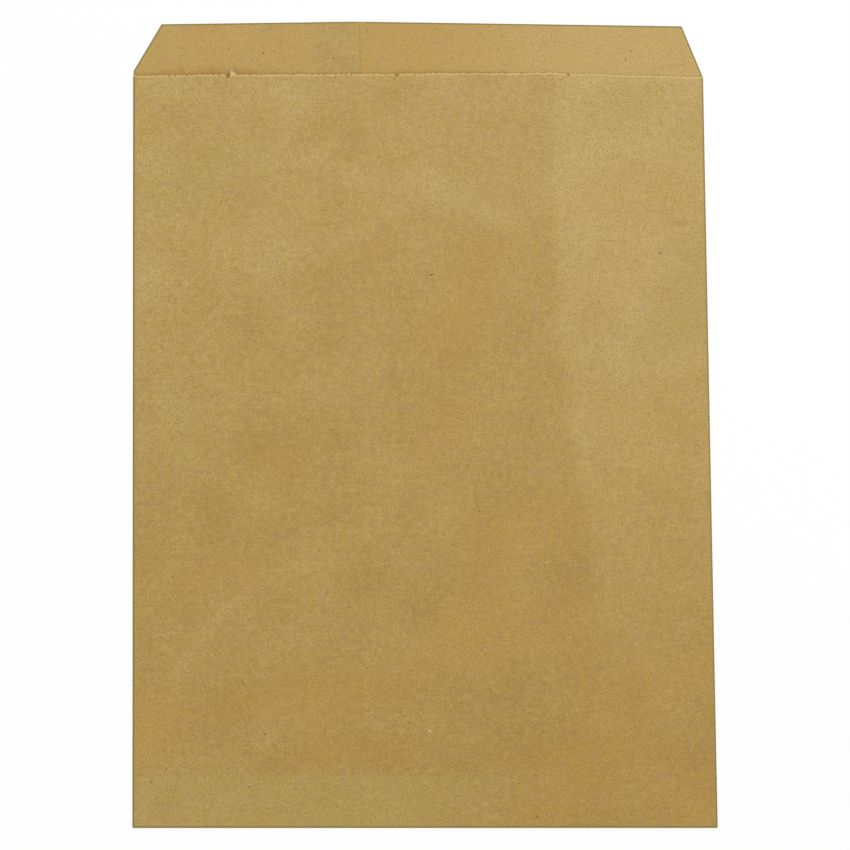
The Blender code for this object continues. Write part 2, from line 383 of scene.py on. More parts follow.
@dataclass(frozen=True)
class SawCut:
    """The saw-cut mouth: teeth of uneven depth, some of them hardly there, and three nicks.

    A span gives the least and the greatest share that a tooth can draw.
    """

    pitch: float = 0.00254
    sway: float = 0.22
    sway_rate: float = 190.0
    depth: float = 0.00044
    depth_span: Span = (0.10, 1.30)
    set_back_span: Span = (0.0, 0.70)
    arch_power: float = 0.55
    ragged_share: float = 0.10
    ragged_rates: tuple[float, ...] = (9100.0, 14300.0, 5200.0)
    valley_span: Span = (-0.6, 1.0)
    valley_width: float = 0.20
    calm: float = 0.8
    calm_x: float = 0.055
    calm_length: float = 0.02
    tear_span: Span = (0.50, 0.95)
    valley_hides_tear: float = 0.8
    reach: float = 0.006
    curl: float = 0.00010
    curl_span: Span = (-0.4, 1.0)
    nicks: tuple[Nick, ...] = (
        Nick(-0.0853, 0.0017, 0.0010),
        Nick(-0.0103, 0.0015, 0.0009),
        Nick(0.0664, 0.0012, 0.0007),
    )
    seed: int = 12

    def tooth_count(self, half_front: float) -> int:
        """How many teeth the cut has, with one to spare at each end."""
        return int(math.ceil(2 * half_front / self.pitch)) + 2

    def tooth_place(self, x: np.ndarray, half_front: float) -> np.ndarray:
        """How many teeth in from the left end each place is, with a slow sway in the pitch."""
        return (x + half_front) / self.pitch + self.sway * np.sin(x * self.sway_rate)

    def tooth_values(self, half_front: float, what: ToothDraw, span: Span) -> np.ndarray:
        """One even random value a tooth.

        Args:
            half_front: Where the side folds are, at which the cut starts and ends.
            what: What the values are for.
            span: Least and greatest value.
        Returns:
            The values, one a tooth.
        """
        draw = np.random.default_rng(self.seed + what.value)
        return draw.uniform(*span, self.tooth_count(half_front))

    def between_teeth(self, x: np.ndarray, half_front: float, what: ToothDraw, span: Span) -> np.ndarray:
        """The teeth's random values, which run straight from one tooth to the next.

        Args:
            x: Across the bag.
            half_front: Where the side folds are.
            what: What the values are for.
            span: Least and greatest value.
        Returns:
            The value at each place.
        """
        own = self.tooth_values(half_front, what, span)
        return np.interp(self.tooth_place(x, half_front), np.arange(len(own)), own)

    def bite(self, x: np.ndarray, half_front: float) -> np.ndarray:
        """How far the edge lies in from the line of the tooth tips.

        A tooth is a rounded arch: its bite is its depth times one minus a power of the absolute sine of pi
        times its place. Each tooth has its own depth and its own small set-back, torn fibres add a fine
        ragged noise, and a nick is a narrow parabola that counts where it is deeper.

        Args:
            x: Across the bag.
            half_front: Where the side folds are, at which the cut starts and ends.
        Returns:
            The depth of the bite in metres.
        """
        place = self.tooth_place(x, half_front)
        tooth = np.clip(np.floor(place).astype(int), 0, self.tooth_count(half_front) - 1)
        arch = 1.0 - np.abs(np.sin(np.pi * place)) ** self.arch_power
        depth = self.depth * self.tooth_values(half_front, ToothDraw.DEPTH, self.depth_span)[tooth]
        set_back = self.depth * self.tooth_values(half_front, ToothDraw.SET_BACK, self.set_back_span)[tooth]
        ragged = sum(np.sin(x * rate + phase) for phase, rate in enumerate(self.ragged_rates))
        cut = depth * arch + set_back + self.ragged_share * self.depth * ragged
        for nick in self.nicks:
            off = np.abs(x - nick.x) / nick.half_width
            cut = np.maximum(cut, nick.depth * np.clip(1.0 - off ** 2, 0.0, 1.0))
        ends = ease((half_front - np.abs(x)) / self.pitch)
        return np.maximum(cut, 0.0) * ends

    def valley(self, x: np.ndarray, half_front: float) -> np.ndarray:
        """How much painted shadow each place along the edge gets, where it lies in a valley between two teeth
        or in a nick.

        Args:
            x: Across the bag.
            half_front: Where the side folds are.
        Returns:
            The share, from 0 to 1, with its own strength for each valley.
        """
        place = self.tooth_place(x, half_front)
        nearest = np.clip(np.rint(place).astype(int), 0, self.tooth_count(half_front) - 1)
        own = self.tooth_values(half_front, ToothDraw.VALLEY, self.valley_span)[nearest]
        dark = own * ease(1.2 - np.abs(place - nearest) / self.valley_width)
        dark = dark * (1.0 - self.calm * eased(x, self.calm_x, self.calm_length))
        for nick in self.nicks:
            dark = np.maximum(dark, ease(1.5 - np.abs(x - nick.x) / nick.half_width))
        return np.clip(dark, 0.0, 1.0)

    def tear(self, x: np.ndarray, half_front: float) -> np.ndarray:
        """How pale the mouth's edge looks, with its torn fibres and a painted highlight where the cut edge
        catches the light: a share that runs from tooth to tooth, and less in the valleys.
        """
        pale = self.between_teeth(x, half_front, ToothDraw.TEAR, self.tear_span)
        return pale * (1.0 - self.valley_hides_tear * self.valley(x, half_front))

    def curl_height(self, x: np.ndarray, half_front: float) -> np.ndarray:
        """How far each tooth curls up or down at its tip, in metres.

        Args:
            x: Across the bag.
            half_front: Where the side folds are.
        Returns:
            The height at the edge, which dies away at the side folds.
        """
        curl = self.between_teeth(x, half_front, ToothDraw.CURL, self.curl_span)
        return self.curl * curl * ease((half_front - np.abs(x)) / self.pitch)


@dataclass(frozen=True)
class Waves:
    """A smooth random field over the sheet, made of plane waves."""

    shortest: float
    longest: float
    seed: int
    count: int = 14

    def values(self, x: np.ndarray, y: np.ndarray) -> np.ndarray:
        """The sum of waves of random direction, length and phase, over the root of their number.

        Args:
            x: Across the bag.
            y: Up from the bottom fold.
        Returns:
            The field, mostly between -1 and 1.
        """
        draw = np.random.default_rng(self.seed)
        total = np.zeros(np.shape(x))
        for _ in range(self.count):
            way = draw.uniform(0, 2 * math.pi)
            turns = 2 * math.pi / draw.uniform(self.shortest, self.longest)
            phase = draw.uniform(0, 2 * math.pi)
            total = total + np.sin(turns * (x * math.cos(way) + y * math.sin(way)) + phase)
        return total / math.sqrt(self.count)


@dataclass(frozen=True)
class BagShape:
    """Where every point of the flat blank lies once the bag is folded, glued and swollen with air."""

    sizes: BagSizes
    saw: SawCut
    swells: tuple[Swell, ...] = SWELLS
    stains: tuple[Stain, ...] = STAINS
    creases: tuple[Crease, ...] = CREASES
    bend_top_x: float = 0.0595
    bend_turn_y: float = 0.225
    bend_lean: float = 0.115
    bend_slope: float = 0.024
    bend_softness: float = 0.0025
    bend_foot_y: float = 0.015
    bend_foot_length: float = 0.08
    bend_side_power: int = 8
    ripple: float = 0.00008
    ripple_waves: Waves = Waves(0.028, 0.085, seed=6)
    cockle: float = 0.000014
    cockle_waves: Waves = Waves(0.007, 0.013, seed=7)
    free_loft: float = 0.0018
    mouth_blend: float = 0.11
    gaps: tuple[tuple[float, float], ...] = (
        (-0.127, 0.0),
        (-0.118, 0.0006),
        (-0.104, 0.0007),
        (-0.088, 0.0013),
        (-0.076, 0.0009),
        (-0.058, 0.0003),
        (-0.036, 0.0008),
        (-0.020, 0.0004),
        (0.006, 0.0008),
        (0.030, 0.0004),
        (0.050, 0.0003),
        (0.080, 0.0001),
        (0.127, 0.0),
    )

    def below_mouth(self, x: np.ndarray, y: np.ndarray) -> np.ndarray:
        """How far each place of the front lies below the mouth's straight cuts."""
        return self.sizes.front_length + self.sizes.mouth_rise(x) - y

    def bend_offset(self, x: np.ndarray, y: np.ndarray) -> np.ndarray:
        """Distance to the right of the long soft bend, which runs down and then leans to the right."""
        down = np.interp(y, (0.0, self.bend_turn_y, 1.0), (self.bend_turn_y, 0.0, 0.0))
        return x - (self.bend_top_x + self.bend_lean * down)

    def belly(self, x: np.ndarray, y: np.ndarray) -> np.ndarray:
        """Loft of the front over the back: a quarter sine up from the bottom fold, times one minus the share
        of the half width to the power of the shoulder, eased down to the small gap that the mouth has.

        Args:
            x: Across the bag.
            y: Up from the bottom fold.
        Returns:
            The loft in metres.
        """
        s = self.sizes
        rise = s.belly_height * np.sin(np.pi / 2 * np.clip(y / s.belly_rise, 0, 1))
        full = rise * (1 - np.clip(np.abs(x) / s.half_front, 0, 1) ** s.belly_shoulder)
        gap = np.interp(x, *zip(*self.gaps))
        near = ease(1 - self.below_mouth(x, y) / self.mouth_blend)
        return full + (gap - full) * near

    def relief(self, x: np.ndarray, y: np.ndarray) -> np.ndarray:
        """Everything that the front panel does besides its loft: bend, swellings, creases, waves and cockle.

        Args:
            x: Across the bag.
            y: Up from the bottom fold.
        Returns:
            The height in metres, which is eased away where the front nears the back.
        """
        s = self.sizes
        off = self.bend_offset(x, y) / self.bend_softness
        bend = -self.bend_slope * self.bend_softness * np.logaddexp(0.0, off)
        bend = bend * (1 - np.clip(np.abs(x) / s.half_front, 0, 1) ** self.bend_side_power)
        bend = bend * eased(y, self.bend_foot_y, self.bend_foot_length)
        height = bend
        for one in self.swells:
            height = height + one.height * one.share(x, y)
        for one in self.creases:
            height = height + one.height * one.share(x, y)
        height = height + self.ripple * self.ripple_waves.values(x, y)
        height = height + self.cockle * self.cockle_waves.values(x, y)
        return height * ease(self.belly(x, y) / self.free_loft)

    def front_rise(self, x: np.ndarray, y: np.ndarray) -> np.ndarray:
        """How far the front panel stands off its folded height, with the lift of its saw-cut edge.

        Args:
            x: Across the bag.
            y: Up from the bottom fold.
        Returns:
            The height in metres, never below nothing.
        """
        rise = self.belly(x, y) + self.relief(x, y)
        near_edge = np.clip(1 - self.below_mouth(x, y) / self.saw.reach, 0, 1) ** 2
        rise = rise + near_edge * self.saw.curl_height(x, self.sizes.half_front)
        return np.maximum(rise, 0.0)

    def flap_lift(self, y: np.ndarray) -> np.ndarray:
        """How far the back is lifted where it lies on the bottom flap, with an eased ramp past its edge."""
        s = self.sizes
        return s.layer_step * (1 - ease((y - s.flap_length - s.edge_clearance) / s.lap_ramp))

    def seam_lift(self, x: np.ndarray) -> np.ndarray:
        """How far the left back part is lifted where it laps the right one, with an eased ramp before it."""
        s = self.sizes
        return s.layer_step * ease((x - (s.lap_x - s.edge_clearance - s.lap_ramp)) / s.lap_ramp)

    def back_x(self, u: np.ndarray) -> np.ndarray:
        """Where a point of either back part lies across the bag."""
        s = self.sizes
        return np.sign(u) * (s.half_front - (np.abs(u) - s.back_start))

    def folded(self, u: np.ndarray, v: np.ndarray) -> np.ndarray:
        """Where points of the blank lie on the folded bag, at the middle of the paper.

        The flap and the back are flat, the folds are half turns whose radius leaves room for the layers
        inside them, and the front is at the top of its side folds plus its rise.

        Args:
            u: Across the blank.
            v: Along the blank.
        Returns:
            One row of x, y and z for each point, in the frame.
        """
        s = self.sizes
        side = np.sign(u)
        back_z = s.mid_paper + self.flap_lift(v)
        side_turn = np.clip((np.abs(u) - s.half_front) / s.side_radius, 0, math.pi)
        fold_x = side * (s.half_front + s.side_radius * np.sin(side_turn))
        fold_z = back_z + s.side_radius * (1 + np.cos(side_turn))
        bottom_turn = np.clip(-v / s.bottom_radius, 0, math.pi)
        back_x = self.back_x(u)
        back_part_z = back_z + np.where(side < 0, self.seam_lift(back_x), 0.0)
        is_flap = v < s.flap_start
        is_bottom = (v < 0) & ~is_flap
        is_front = (np.abs(u) <= s.half_front) & (v >= 0)
        is_fold = (np.abs(u) > s.half_front) & (np.abs(u) < s.back_start) & (v >= 0)
        cases = [is_flap, is_bottom, is_front, is_fold]
        x = np.select(cases, [u, u, u, fold_x], back_x)
        y = np.select(cases, [s.flap_start - v, -s.bottom_radius * np.sin(bottom_turn), v, v], v)
        front_z = back_z + 2 * s.side_radius + self.front_rise(u, v)
        bottom_z = s.mid_paper + s.bottom_radius * (1 + np.cos(bottom_turn))
        z = np.select(cases, [np.full_like(v, s.mid_paper), bottom_z, front_z, fold_z], back_part_z)
        return np.column_stack((x, y - s.middle_y, z))


class BlankMesh:
    """Collects the points and faces of the flat blank, with finer rows where the knife cut the paper."""

    def __init__(self) -> None:
        """Starts with no points."""
        self.across: list[np.ndarray] = []
        self.along: list[np.ndarray] = []
        self.faces: list[list[int]] = []
        self.count = 0

    def add_points(self, across: np.ndarray, along: np.ndarray) -> np.ndarray:
        """Adds points of the blank.

        Args:
            across: Their u.
            along: Their v, of the same shape.
        Returns:
            Their numbers, in the same shape.
        """
        numbers = np.arange(self.count, self.count + across.size).reshape(across.shape)
        self.across.append(across.ravel())
        self.along.append(along.ravel())
        self.count += across.size
        return numbers

    def add_quads(self, grid: np.ndarray, wanted: Optional[np.ndarray] = None) -> None:
        """Adds a face for each cell of a grid of point numbers.

        Args:
            grid: Point numbers, rows up and columns to the right.
            wanted: Which cells get a face. All of them if it isn't given.
        """
        quads = np.stack((grid[:-1, :-1], grid[:-1, 1:], grid[1:, 1:], grid[1:, :-1]), axis=-1)
        quads = quads.reshape(-1, 4) if wanted is None else quads[wanted]
        self.faces.extend(quads.tolist())

    def add_stitch(self, coarse: np.ndarray, fine: np.ndarray, fine_is_above: bool) -> None:
        """Joins a row of points to a row with twice as many steps, by faces with five corners.

        Args:
            coarse: Point numbers of the coarse row.
            fine: Point numbers of the fine row.
            fine_is_above: Does the fine row lie further along the blank?
        """
        start, middle, end = fine[:-1:2], fine[1::2], fine[2::2]
        if fine_is_above:
            rows = (coarse[:-1], coarse[1:], end, middle, start)
        else:
            rows = (start, middle, end, coarse[1:], coarse[:-1])
        self.faces.extend(np.stack(rows, axis=-1).tolist())

    def places(self) -> tuple[np.ndarray, np.ndarray]:
        """The u and v of every point."""
        return np.concatenate(self.across), np.concatenate(self.along)


def halved(places: np.ndarray) -> np.ndarray:
    """The places with one more in the middle of each step."""
    finer = np.empty(2 * len(places) - 1)
    finer[::2] = places
    finer[1::2] = (places[:-1] + places[1:]) / 2
    return finer


def graded(start: float, end: float, step: float, near: Sequence[float] = (0.0003, 0.001)) -> np.ndarray:
    """Places from start to end, about a step apart, with closer ones near both ends.

    Args:
        start: First place.
        end: Last place.
        step: Longest step in between.
        near: How far in from each end the closer places are.
    Returns:
        The places in order.
    """
    way = 1.0 if end > start else -1.0
    first = [start + way * n for n in near]
    last = [end - way * n for n in reversed(near)]
    steps = max(1, math.ceil(abs(last[0] - first[-1]) / step))
    return np.concatenate(([start], first[:-1], np.linspace(first[-1], last[0], steps + 1), last[1:], [end]))


@dataclass(frozen=True)
class PaperSheet:
    """The sheet of paper that the bag is folded from, as one mesh with its thickness."""

    shape: BagShape
    front_step: float = 0.0019
    row_step: float = 0.0022
    back_step: float = 0.006
    glued_step: float = 0.003
    fold_steps: int = 8
    mouth_rows: tuple[float, ...] = (0.0060, 0.0040, 0.0026, 0.0016, 0.0009, 0.00045, 0.00015, 0.0)
    flap_rows: tuple[float, ...] = (0.0012, 0.0006, 0.0)
    corner_columns: tuple[float, ...] = (0.0003, 0.0006, 0.0010, 0.0018, 0.0030)
    lip_end_rows: tuple[float, ...] = (0.0013, 0.0008, 0.0005)
    corner_reach: float = 0.03
    rise_reach: float = 0.03
    far: float = FAR

    def columns(self) -> tuple[np.ndarray, int, int]:
        """Where the blank's columns of points are.

        Returns:
            The columns from the left free edge to the right one, and the numbers of the first and the last
            column of the front panel.
        """
        s = self.shape.sizes
        left_x = np.concatenate((
            graded(s.seam_edge_x, s.lap_x, self.glued_step),
            graded(s.lap_x, -s.half_front, self.back_step, self.corner_columns)[1:],
        ))
        right_x = np.concatenate((
            graded(s.half_front, s.seam_edge_x, self.back_step, self.corner_columns),
            graded(s.seam_edge_x, s.lap_x, self.glued_step)[1:],
        ))
        fold = s.side_radius * np.linspace(0, math.pi, self.fold_steps + 1)[1:-1]
        left = -s.back_start - (left_x + s.half_front)
        right = s.back_start + (s.half_front - right_x)
        front = graded(-s.half_front, s.half_front, self.front_step)
        every = np.concatenate((left, -s.half_front - fold[::-1], front, s.half_front + fold, right))
        first = len(left) + len(fold)
        return every, first, first + len(front) - 1

    def rows(self) -> tuple[np.ndarray, int, int]:
        """Where the blank's rows of points are.

        Returns:
            The rows from the flap to the end of the lip, and the numbers of the bottom fold's last row and
            of the mouth's row.
        """
        s = self.shape.sizes
        edge = s.flap_start - s.flap_length
        flap = graded(edge + self.flap_rows[0], s.flap_start, self.glued_step)
        fold = s.flap_start * np.linspace(1, 0, self.fold_steps + 1)[1:]
        ramp = s.flap_length + s.edge_clearance
        low = graded(0.0, ramp, self.row_step)[1:]
        rise = ramp + s.lap_ramp * np.linspace(0, 1, 5)[1:]
        body = np.linspace(rise[-1], s.front_length - self.mouth_rows[0],
                           math.ceil((s.front_length - rise[-1]) / self.row_step))[1:]
        mouth = s.front_length - np.array(self.mouth_rows[1:])
        lip = graded(s.front_length, s.lip_end, self.row_step, (s.right_cut_start, s.left_cut_start))[1:]
        lip = np.unique(np.concatenate((lip, s.lip_end - np.array(self.lip_end_rows))))
        every = np.concatenate((flap, fold, low, rise, body, mouth, lip))
        bottom = len(flap) + len(fold) - 1
        return every, bottom, len(every) - len(lip) - 1

    def blank(self) -> BlankMesh:
        """The flat blank: one grid for the whole sheet, without its waste, and finer rows at its saw cuts."""
        columns, left, right = self.columns()
        rows, bottom, mouth = self.rows()
        blank = BlankMesh()
        coarse_top = mouth - len(self.mouth_rows) + 1
        wanted = np.ones((len(rows) - 1, len(columns) - 1), dtype=bool)
        wanted[:bottom, :left] = False
        wanted[:bottom, right:] = False
        wanted[coarse_top:mouth, left:right] = False
        first_back = left - self.fold_steps
        last_back = right + self.fold_steps
        wanted[mouth:, first_back:last_back] = False
        used = np.zeros((len(rows), len(columns)), dtype=bool)
        for row_shift in (0, 1):
            for column_shift in (0, 1):
                height, width = wanted.shape
                used[row_shift:row_shift + height, column_shift:column_shift + width] |= wanted
        u, v = np.meshgrid(columns, rows)
        grid = np.full(used.shape, -1)
        grid[used] = blank.add_points(u[used], v[used])
        blank.add_quads(grid, wanted)
        self.add_mouth(blank, grid[:, left:right + 1], columns[left:right + 1], rows, coarse_top)
        self.add_flap_edge(blank, grid[0, left:right + 1], columns[left:right + 1])
        return blank

    def add_mouth(
        self, blank: BlankMesh, grid: np.ndarray, columns: np.ndarray, rows: np.ndarray, coarse_top: int
    ) -> None:
        """Adds the front's last rows before the mouth, which have two, four and then eight times the points.

        Args:
            blank: The blank to add them to.
            grid: Point numbers of the front's columns. Their side points are shared with the side folds.
            columns: The u of those columns.
            rows: The v of all the rows.
            coarse_top: Number of the last coarse row.
        """
        below = grid[coarse_top]
        finest = []
        for step in range(1, len(self.mouth_rows)):
            row = coarse_top + step
            if step <= 3:
                columns = halved(columns)
            ends = grid[row, 0], grid[row, -1]
            inner = blank.add_points(columns[1:-1], np.full(len(columns) - 2, rows[row]))
            numbers = np.concatenate(([ends[0]], inner, [ends[1]]))
            if step <= 3:
                blank.add_stitch(below, numbers, fine_is_above=True)
            if step >= 3:
                finest.append(numbers)
            below = numbers
        blank.add_quads(np.stack(finest))

    def add_flap_edge(self, blank: BlankMesh, above: np.ndarray, columns: np.ndarray) -> None:
        """Adds the flap's last rows before its free edge, which have two and then four times the points.

        Args:
            blank: The blank to add them to.
            above: Point numbers of the flap's last coarse row.
            columns: The u of those points.
        """
        s = self.shape.sizes
        edge = s.flap_start - s.flap_length
        for inward in self.flap_rows[1:]:
            columns = halved(columns)
            numbers = blank.add_points(columns, np.full(len(columns), edge + inward))
            blank.add_stitch(above, numbers, fine_is_above=False)
            above = numbers

    def cut_to_shape(self, u: np.ndarray, v: np.ndarray) -> tuple[np.ndarray, np.ndarray]:
        """Moves the blank's points to its real outline: slanted corners, saw teeth and a top cut askew.

        In the lip, the columns near each side lean inwards with the slanted cut. In the flap the columns
        close in with its slanted sides. Near a saw cut the rows follow the teeth, by the cube of how near
        they are. Last, the top rises with its cuts, by the eased share of the way up to the mouth.

        Args:
            u: Across the blank.
            v: Along the blank.
        Returns:
            The moved u and v.
        """
        s, saw = self.shape.sizes, self.shape.saw
        up = ease(1 - (s.front_length - v) / self.rise_reach)
        is_lip = (v > s.front_length) & (np.abs(u) >= s.back_start)
        past = np.abs(u) - s.back_start
        for side in Side:
            width, start = s.cut(side)
            cut = width * np.clip((v - s.front_length - start) / (s.lip_length - start), 0, 1)
            leaned = cut + past * (self.corner_reach - cut) / self.corner_reach
            is_corner = is_lip & (u * side.value > 0) & (past < self.corner_reach)
            u = np.where(is_corner, side.value * (s.back_start + leaned), u)
        is_front_top = (np.abs(u) < s.half_front) & (v > s.front_length - saw.reach) & (v <= s.front_length)
        near = np.clip(1 - (s.front_length - v) / saw.reach, 0, 1) ** 3
        v = np.where(is_front_top, v - saw.bite(u, s.half_front) * near, v)
        front_x = np.clip(u, -s.half_front, s.half_front)
        rise = np.where(np.abs(u) < s.back_start, s.mouth_rise(front_x), s.lip_rise(self.shape.back_x(u)))
        v = v + rise * up
        is_flap = v < s.flap_start
        down = np.clip((s.flap_start - v) / s.flap_length, 0, 1)
        narrowed = 1 - np.where(u < 0, s.left_cut, s.right_cut) * down / s.half_front
        near = np.clip(1 - (v - s.flap_start + s.flap_length) / self.flap_rows[0], 0, 1)
        v = np.where(is_flap, v + saw.bite(-u, s.half_front) * near, v)
        return np.where(is_flap, u * narrowed, u), v

    def cut_distance(self, u: np.ndarray, v: np.ndarray) -> np.ndarray:
        """Distance of each point of the cut blank from the nearest cut edge, up to a few millimetres.

        Args:
            u: Across the blank, after the cuts.
            v: Along the blank, after the cuts.
        Returns:
            The distance in metres.
        """
        s = self.shape.sizes
        far = np.full(u.shape, self.far)
        x = self.shape.back_x(u)
        is_back = np.abs(u) >= s.back_start
        mouth = self.shape.below_mouth(u, v) - self.shape.saw.bite(u, s.half_front)
        far = np.where(np.abs(u) < s.half_front, np.minimum(far, np.abs(mouth)), far)
        far = np.where(is_back, np.minimum(far, np.abs(s.lip_end + s.lip_rise(x) - v)), far)
        for side in Side:
            width, start = s.cut(side)
            low = s.front_length + start + s.lip_rise(side.value * s.half_front)
            high = s.lip_end + s.lip_rise(side.value * (s.half_front - width))
            inward = s.half_front - side.value * x
            off = (inward * (high - low) - (v - low) * width) / math.hypot(width, high - low)
            is_side = is_back & (v > s.front_length) & (side.value * x > 0)
            far = np.where(is_side, np.minimum(far, np.abs(off)), far)
        is_left = is_back & (u < 0)
        far = np.where(is_left, np.minimum(far, np.abs(s.seam_edge_x - x)), far)
        far = np.where(is_back & (u > 0), np.minimum(far, np.abs(x - s.lap_x)), far)
        flap = np.abs(v - s.flap_start + s.flap_length)
        return np.where(v < s.flap_start, np.minimum(far, flap), far)

    def fold_distance(self, u: np.ndarray, v: np.ndarray) -> np.ndarray:
        """Distance of each point along the paper from the nearest fold's crest, up to a few millimetres."""
        s = self.shape.sizes
        side = np.abs(np.abs(u) - (s.half_front + s.back_start) / 2)
        bottom = np.where(np.abs(u) < s.back_start, np.abs(v - s.flap_start / 2), self.far)
        return np.minimum(np.minimum(side, bottom), self.far)


@dataclass(frozen=True)
class PaperTone:
    """Where the paper looks lighter, darker or browner, apart from its pulp: what shows through it, its
    creases, and painted sheen, light, shade and shadow where it faces towards the light and away from it.
    Every tone and warmth is a share, added to the finish."""

    shape: BagShape
    # The front's painted sheen to the right of the bend, painted light high up and under the mouth, and
    # painted shade low down.
    right_tone: float = 0.66
    upper_tone: float = 0.46
    low_tone: float = -0.16
    margin_tone: float = 0.52
    mouth_tone: float = 0.20
    low_right_tone: float = -0.32
    corner_tone: float = 0.25
    crease_tone: float = 0.4
    crease_height: float = 0.0002
    seam_tone: float = -0.10
    flap_tone: float = 0.44
    # Painted highlight along the right fold.
    right_fold_tone: float = 0.35
    wave_tone: float = 0.12
    tone_waves: Waves = Waves(0.020, 0.070, seed=8)
    lip_tone: float = 1.06
    single_layer_tone: float = 0.28
    # Painted light towards the right of the lip.
    lip_right_tone: float = 0.72
    lap_tone: float = -0.70
    # Painted highlight and painted shadow along the seam's free edge on the lip.
    seam_light: float = 0.75
    seam_dark: float = -1.6
    lip_warmth: float = 0.53
    lap_warmth: float = -0.58
    single_layer_warmth: float = 0.24
    lip_right_warmth: float = -0.32
    low_right_warmth: float = 0.14
    low_left_warmth: float = 0.20
    flap_warmth: float = -0.45
    # How much browner the darker patches of painted shade are.
    stain_warmth: float = 0.55
    wave_warmth: float = 0.20
    warmth_waves: Waves = Waves(0.030, 0.090, seed=9)
    # How far the painted shadow above the mouth reaches up the lip, across the bag.
    shades: tuple[tuple[float, float], ...] = (
        (-0.119, 0.0016),
        (-0.108, 0.0036),
        (-0.092, 0.0056),
        (-0.080, 0.0046),
        (-0.071, 0.0032),
        (-0.055, 0.0010),
        (-0.040, 0.0014),
        (-0.021, 0.0010),
        (-0.003, 0.0026),
        (0.010, 0.0012),
        (0.045, 0.0008),
        (0.058, 0.0002),
    )

    def band(self, value: np.ndarray, low: float, high: float, soft: float) -> np.ndarray:
        """One between low and high, with eased ends a little wide."""
        return ease((value - low) / soft + 0.5) * ease((high - value) / soft + 0.5)

    def on_front(self, x: np.ndarray, y: np.ndarray) -> np.ndarray:
        """Light and dark of the front panel.

        The panel has painted sheen to the right of its long bend, painted light high up and under the mouth,
        and painted shade low down. It is lighter along its left margin and along its creases by their height,
        darker where the seam shows through, and carries patches of painted sheen and shade. It is lighter
        again where the flap lies under it, and has a painted highlight along its right fold.

        Args:
            x: Across the bag.
            y: Up from the bottom fold.
        Returns:
            The tone, from about -1 to 1.
        """
        s = self.shape.sizes
        # Painted sheen to the right of the long bend.
        right = ease(self.shape.bend_offset(x, y) / 0.006 + 0.5) * eased(y, 0.030, 0.16)
        right = right * (1 - 0.28 * eased(x, 0.090, 0.030))
        # Painted light high up and painted shade low down.
        upper = eased(y, 0.150, 0.190)
        low_end = 1 - eased(y, 0.0, 0.11)
        margin = (1 - eased(x, -s.half_front, 0.046)) * eased(y, 0.12, 0.06) * (1 - eased(y, 0.29, 0.03))
        # Painted light under the mouth.
        mouth = ease(1 - self.shape.below_mouth(x, y) / 0.008)
        corner = eased(x, 0.090, 0.02) * eased(y, 0.295, 0.03)
        tone = self.right_tone * right + self.upper_tone * upper + self.low_tone * low_end
        tone = tone + self.margin_tone * margin + self.mouth_tone * mouth
        tone = tone + self.low_right_tone * self.low_right(x, y) + self.corner_tone * corner
        # Patches of painted sheen and shade.
        for one in self.shape.stains:
            tone = tone + one.tone * one.share(x, y)
        for one in self.shape.creases:
            tone = tone + self.crease_tone * (one.height / self.crease_height) * one.share(x, y)
        tone = tone + self.seam_tone * self.band(x, s.lap_x, s.seam_edge_x, 0.004)
        flap = 1 - ease((y - s.flap_length) / 0.0012 + 0.5)
        flap = flap * (1 - 0.6 * eased(x, 0.0, 0.05))
        # Painted highlight along the right fold.
        right_fold = ease((x - s.half_front + 0.0008) / 0.0006)
        tone = tone + self.flap_tone * flap + self.right_fold_tone * right_fold
        return tone + self.wave_tone * self.tone_waves.values(x, y)

    def low_right(self, x: np.ndarray, y: np.ndarray) -> np.ndarray:
        """The lower right part of the front, which is a little browner, most of all in the corner."""
        low = eased(x, -0.035, 0.06) * (1 - eased(y, 0.11, 0.08))
        return low + 0.75 * eased(x, -0.01, 0.08) * (1 - eased(y, 0.02, 0.05))

    def on_lip(self, x: np.ndarray, y: np.ndarray) -> np.ndarray:
        """Light and dark of the back's inner face, which has painted light towards the right and is duller at
        the lap.

        On the lip a painted highlight and a painted shadow run along the seam's free edge, where the upper
        layer's edge catches the light and casts a thin shadow.

        Args:
            x: Across the bag.
            y: Up from the bottom fold.
        Returns:
            The tone, mostly from 0 to 2.
        """
        s = self.shape.sizes
        lap = self.band(x, s.lap_x, s.seam_edge_x, 0.0006)
        single = eased(x, s.seam_edge_x, 0.0004)
        # Painted highlight left of the seam's free edge, and painted shadow just right of it.
        edge = ease((x - s.seam_edge_x + 0.0011) / 0.0007) * (1 - single)
        under = ease(1 - np.abs(x - s.seam_edge_x) / 0.0008) * (x > s.seam_edge_x - 0.0001)
        tone = self.lip_tone + self.single_layer_tone * single
        # Painted light towards the right.
        tone = tone + self.lip_right_tone * eased(x, 0.01, 0.08) + self.lap_tone * lap
        is_lip = ease((y - s.front_length + 0.004) / 0.003)
        return tone + (self.seam_light * edge + self.seam_dark * under) * is_lip

    def tone(self, u: np.ndarray, v: np.ndarray) -> np.ndarray:
        """Tone of every point of the blank."""
        s = self.shape.sizes
        x = np.where(np.abs(u) < s.back_start, u, self.shape.back_x(u))
        return np.where(np.abs(u) < s.back_start, self.on_front(x, v), self.on_lip(x, v))

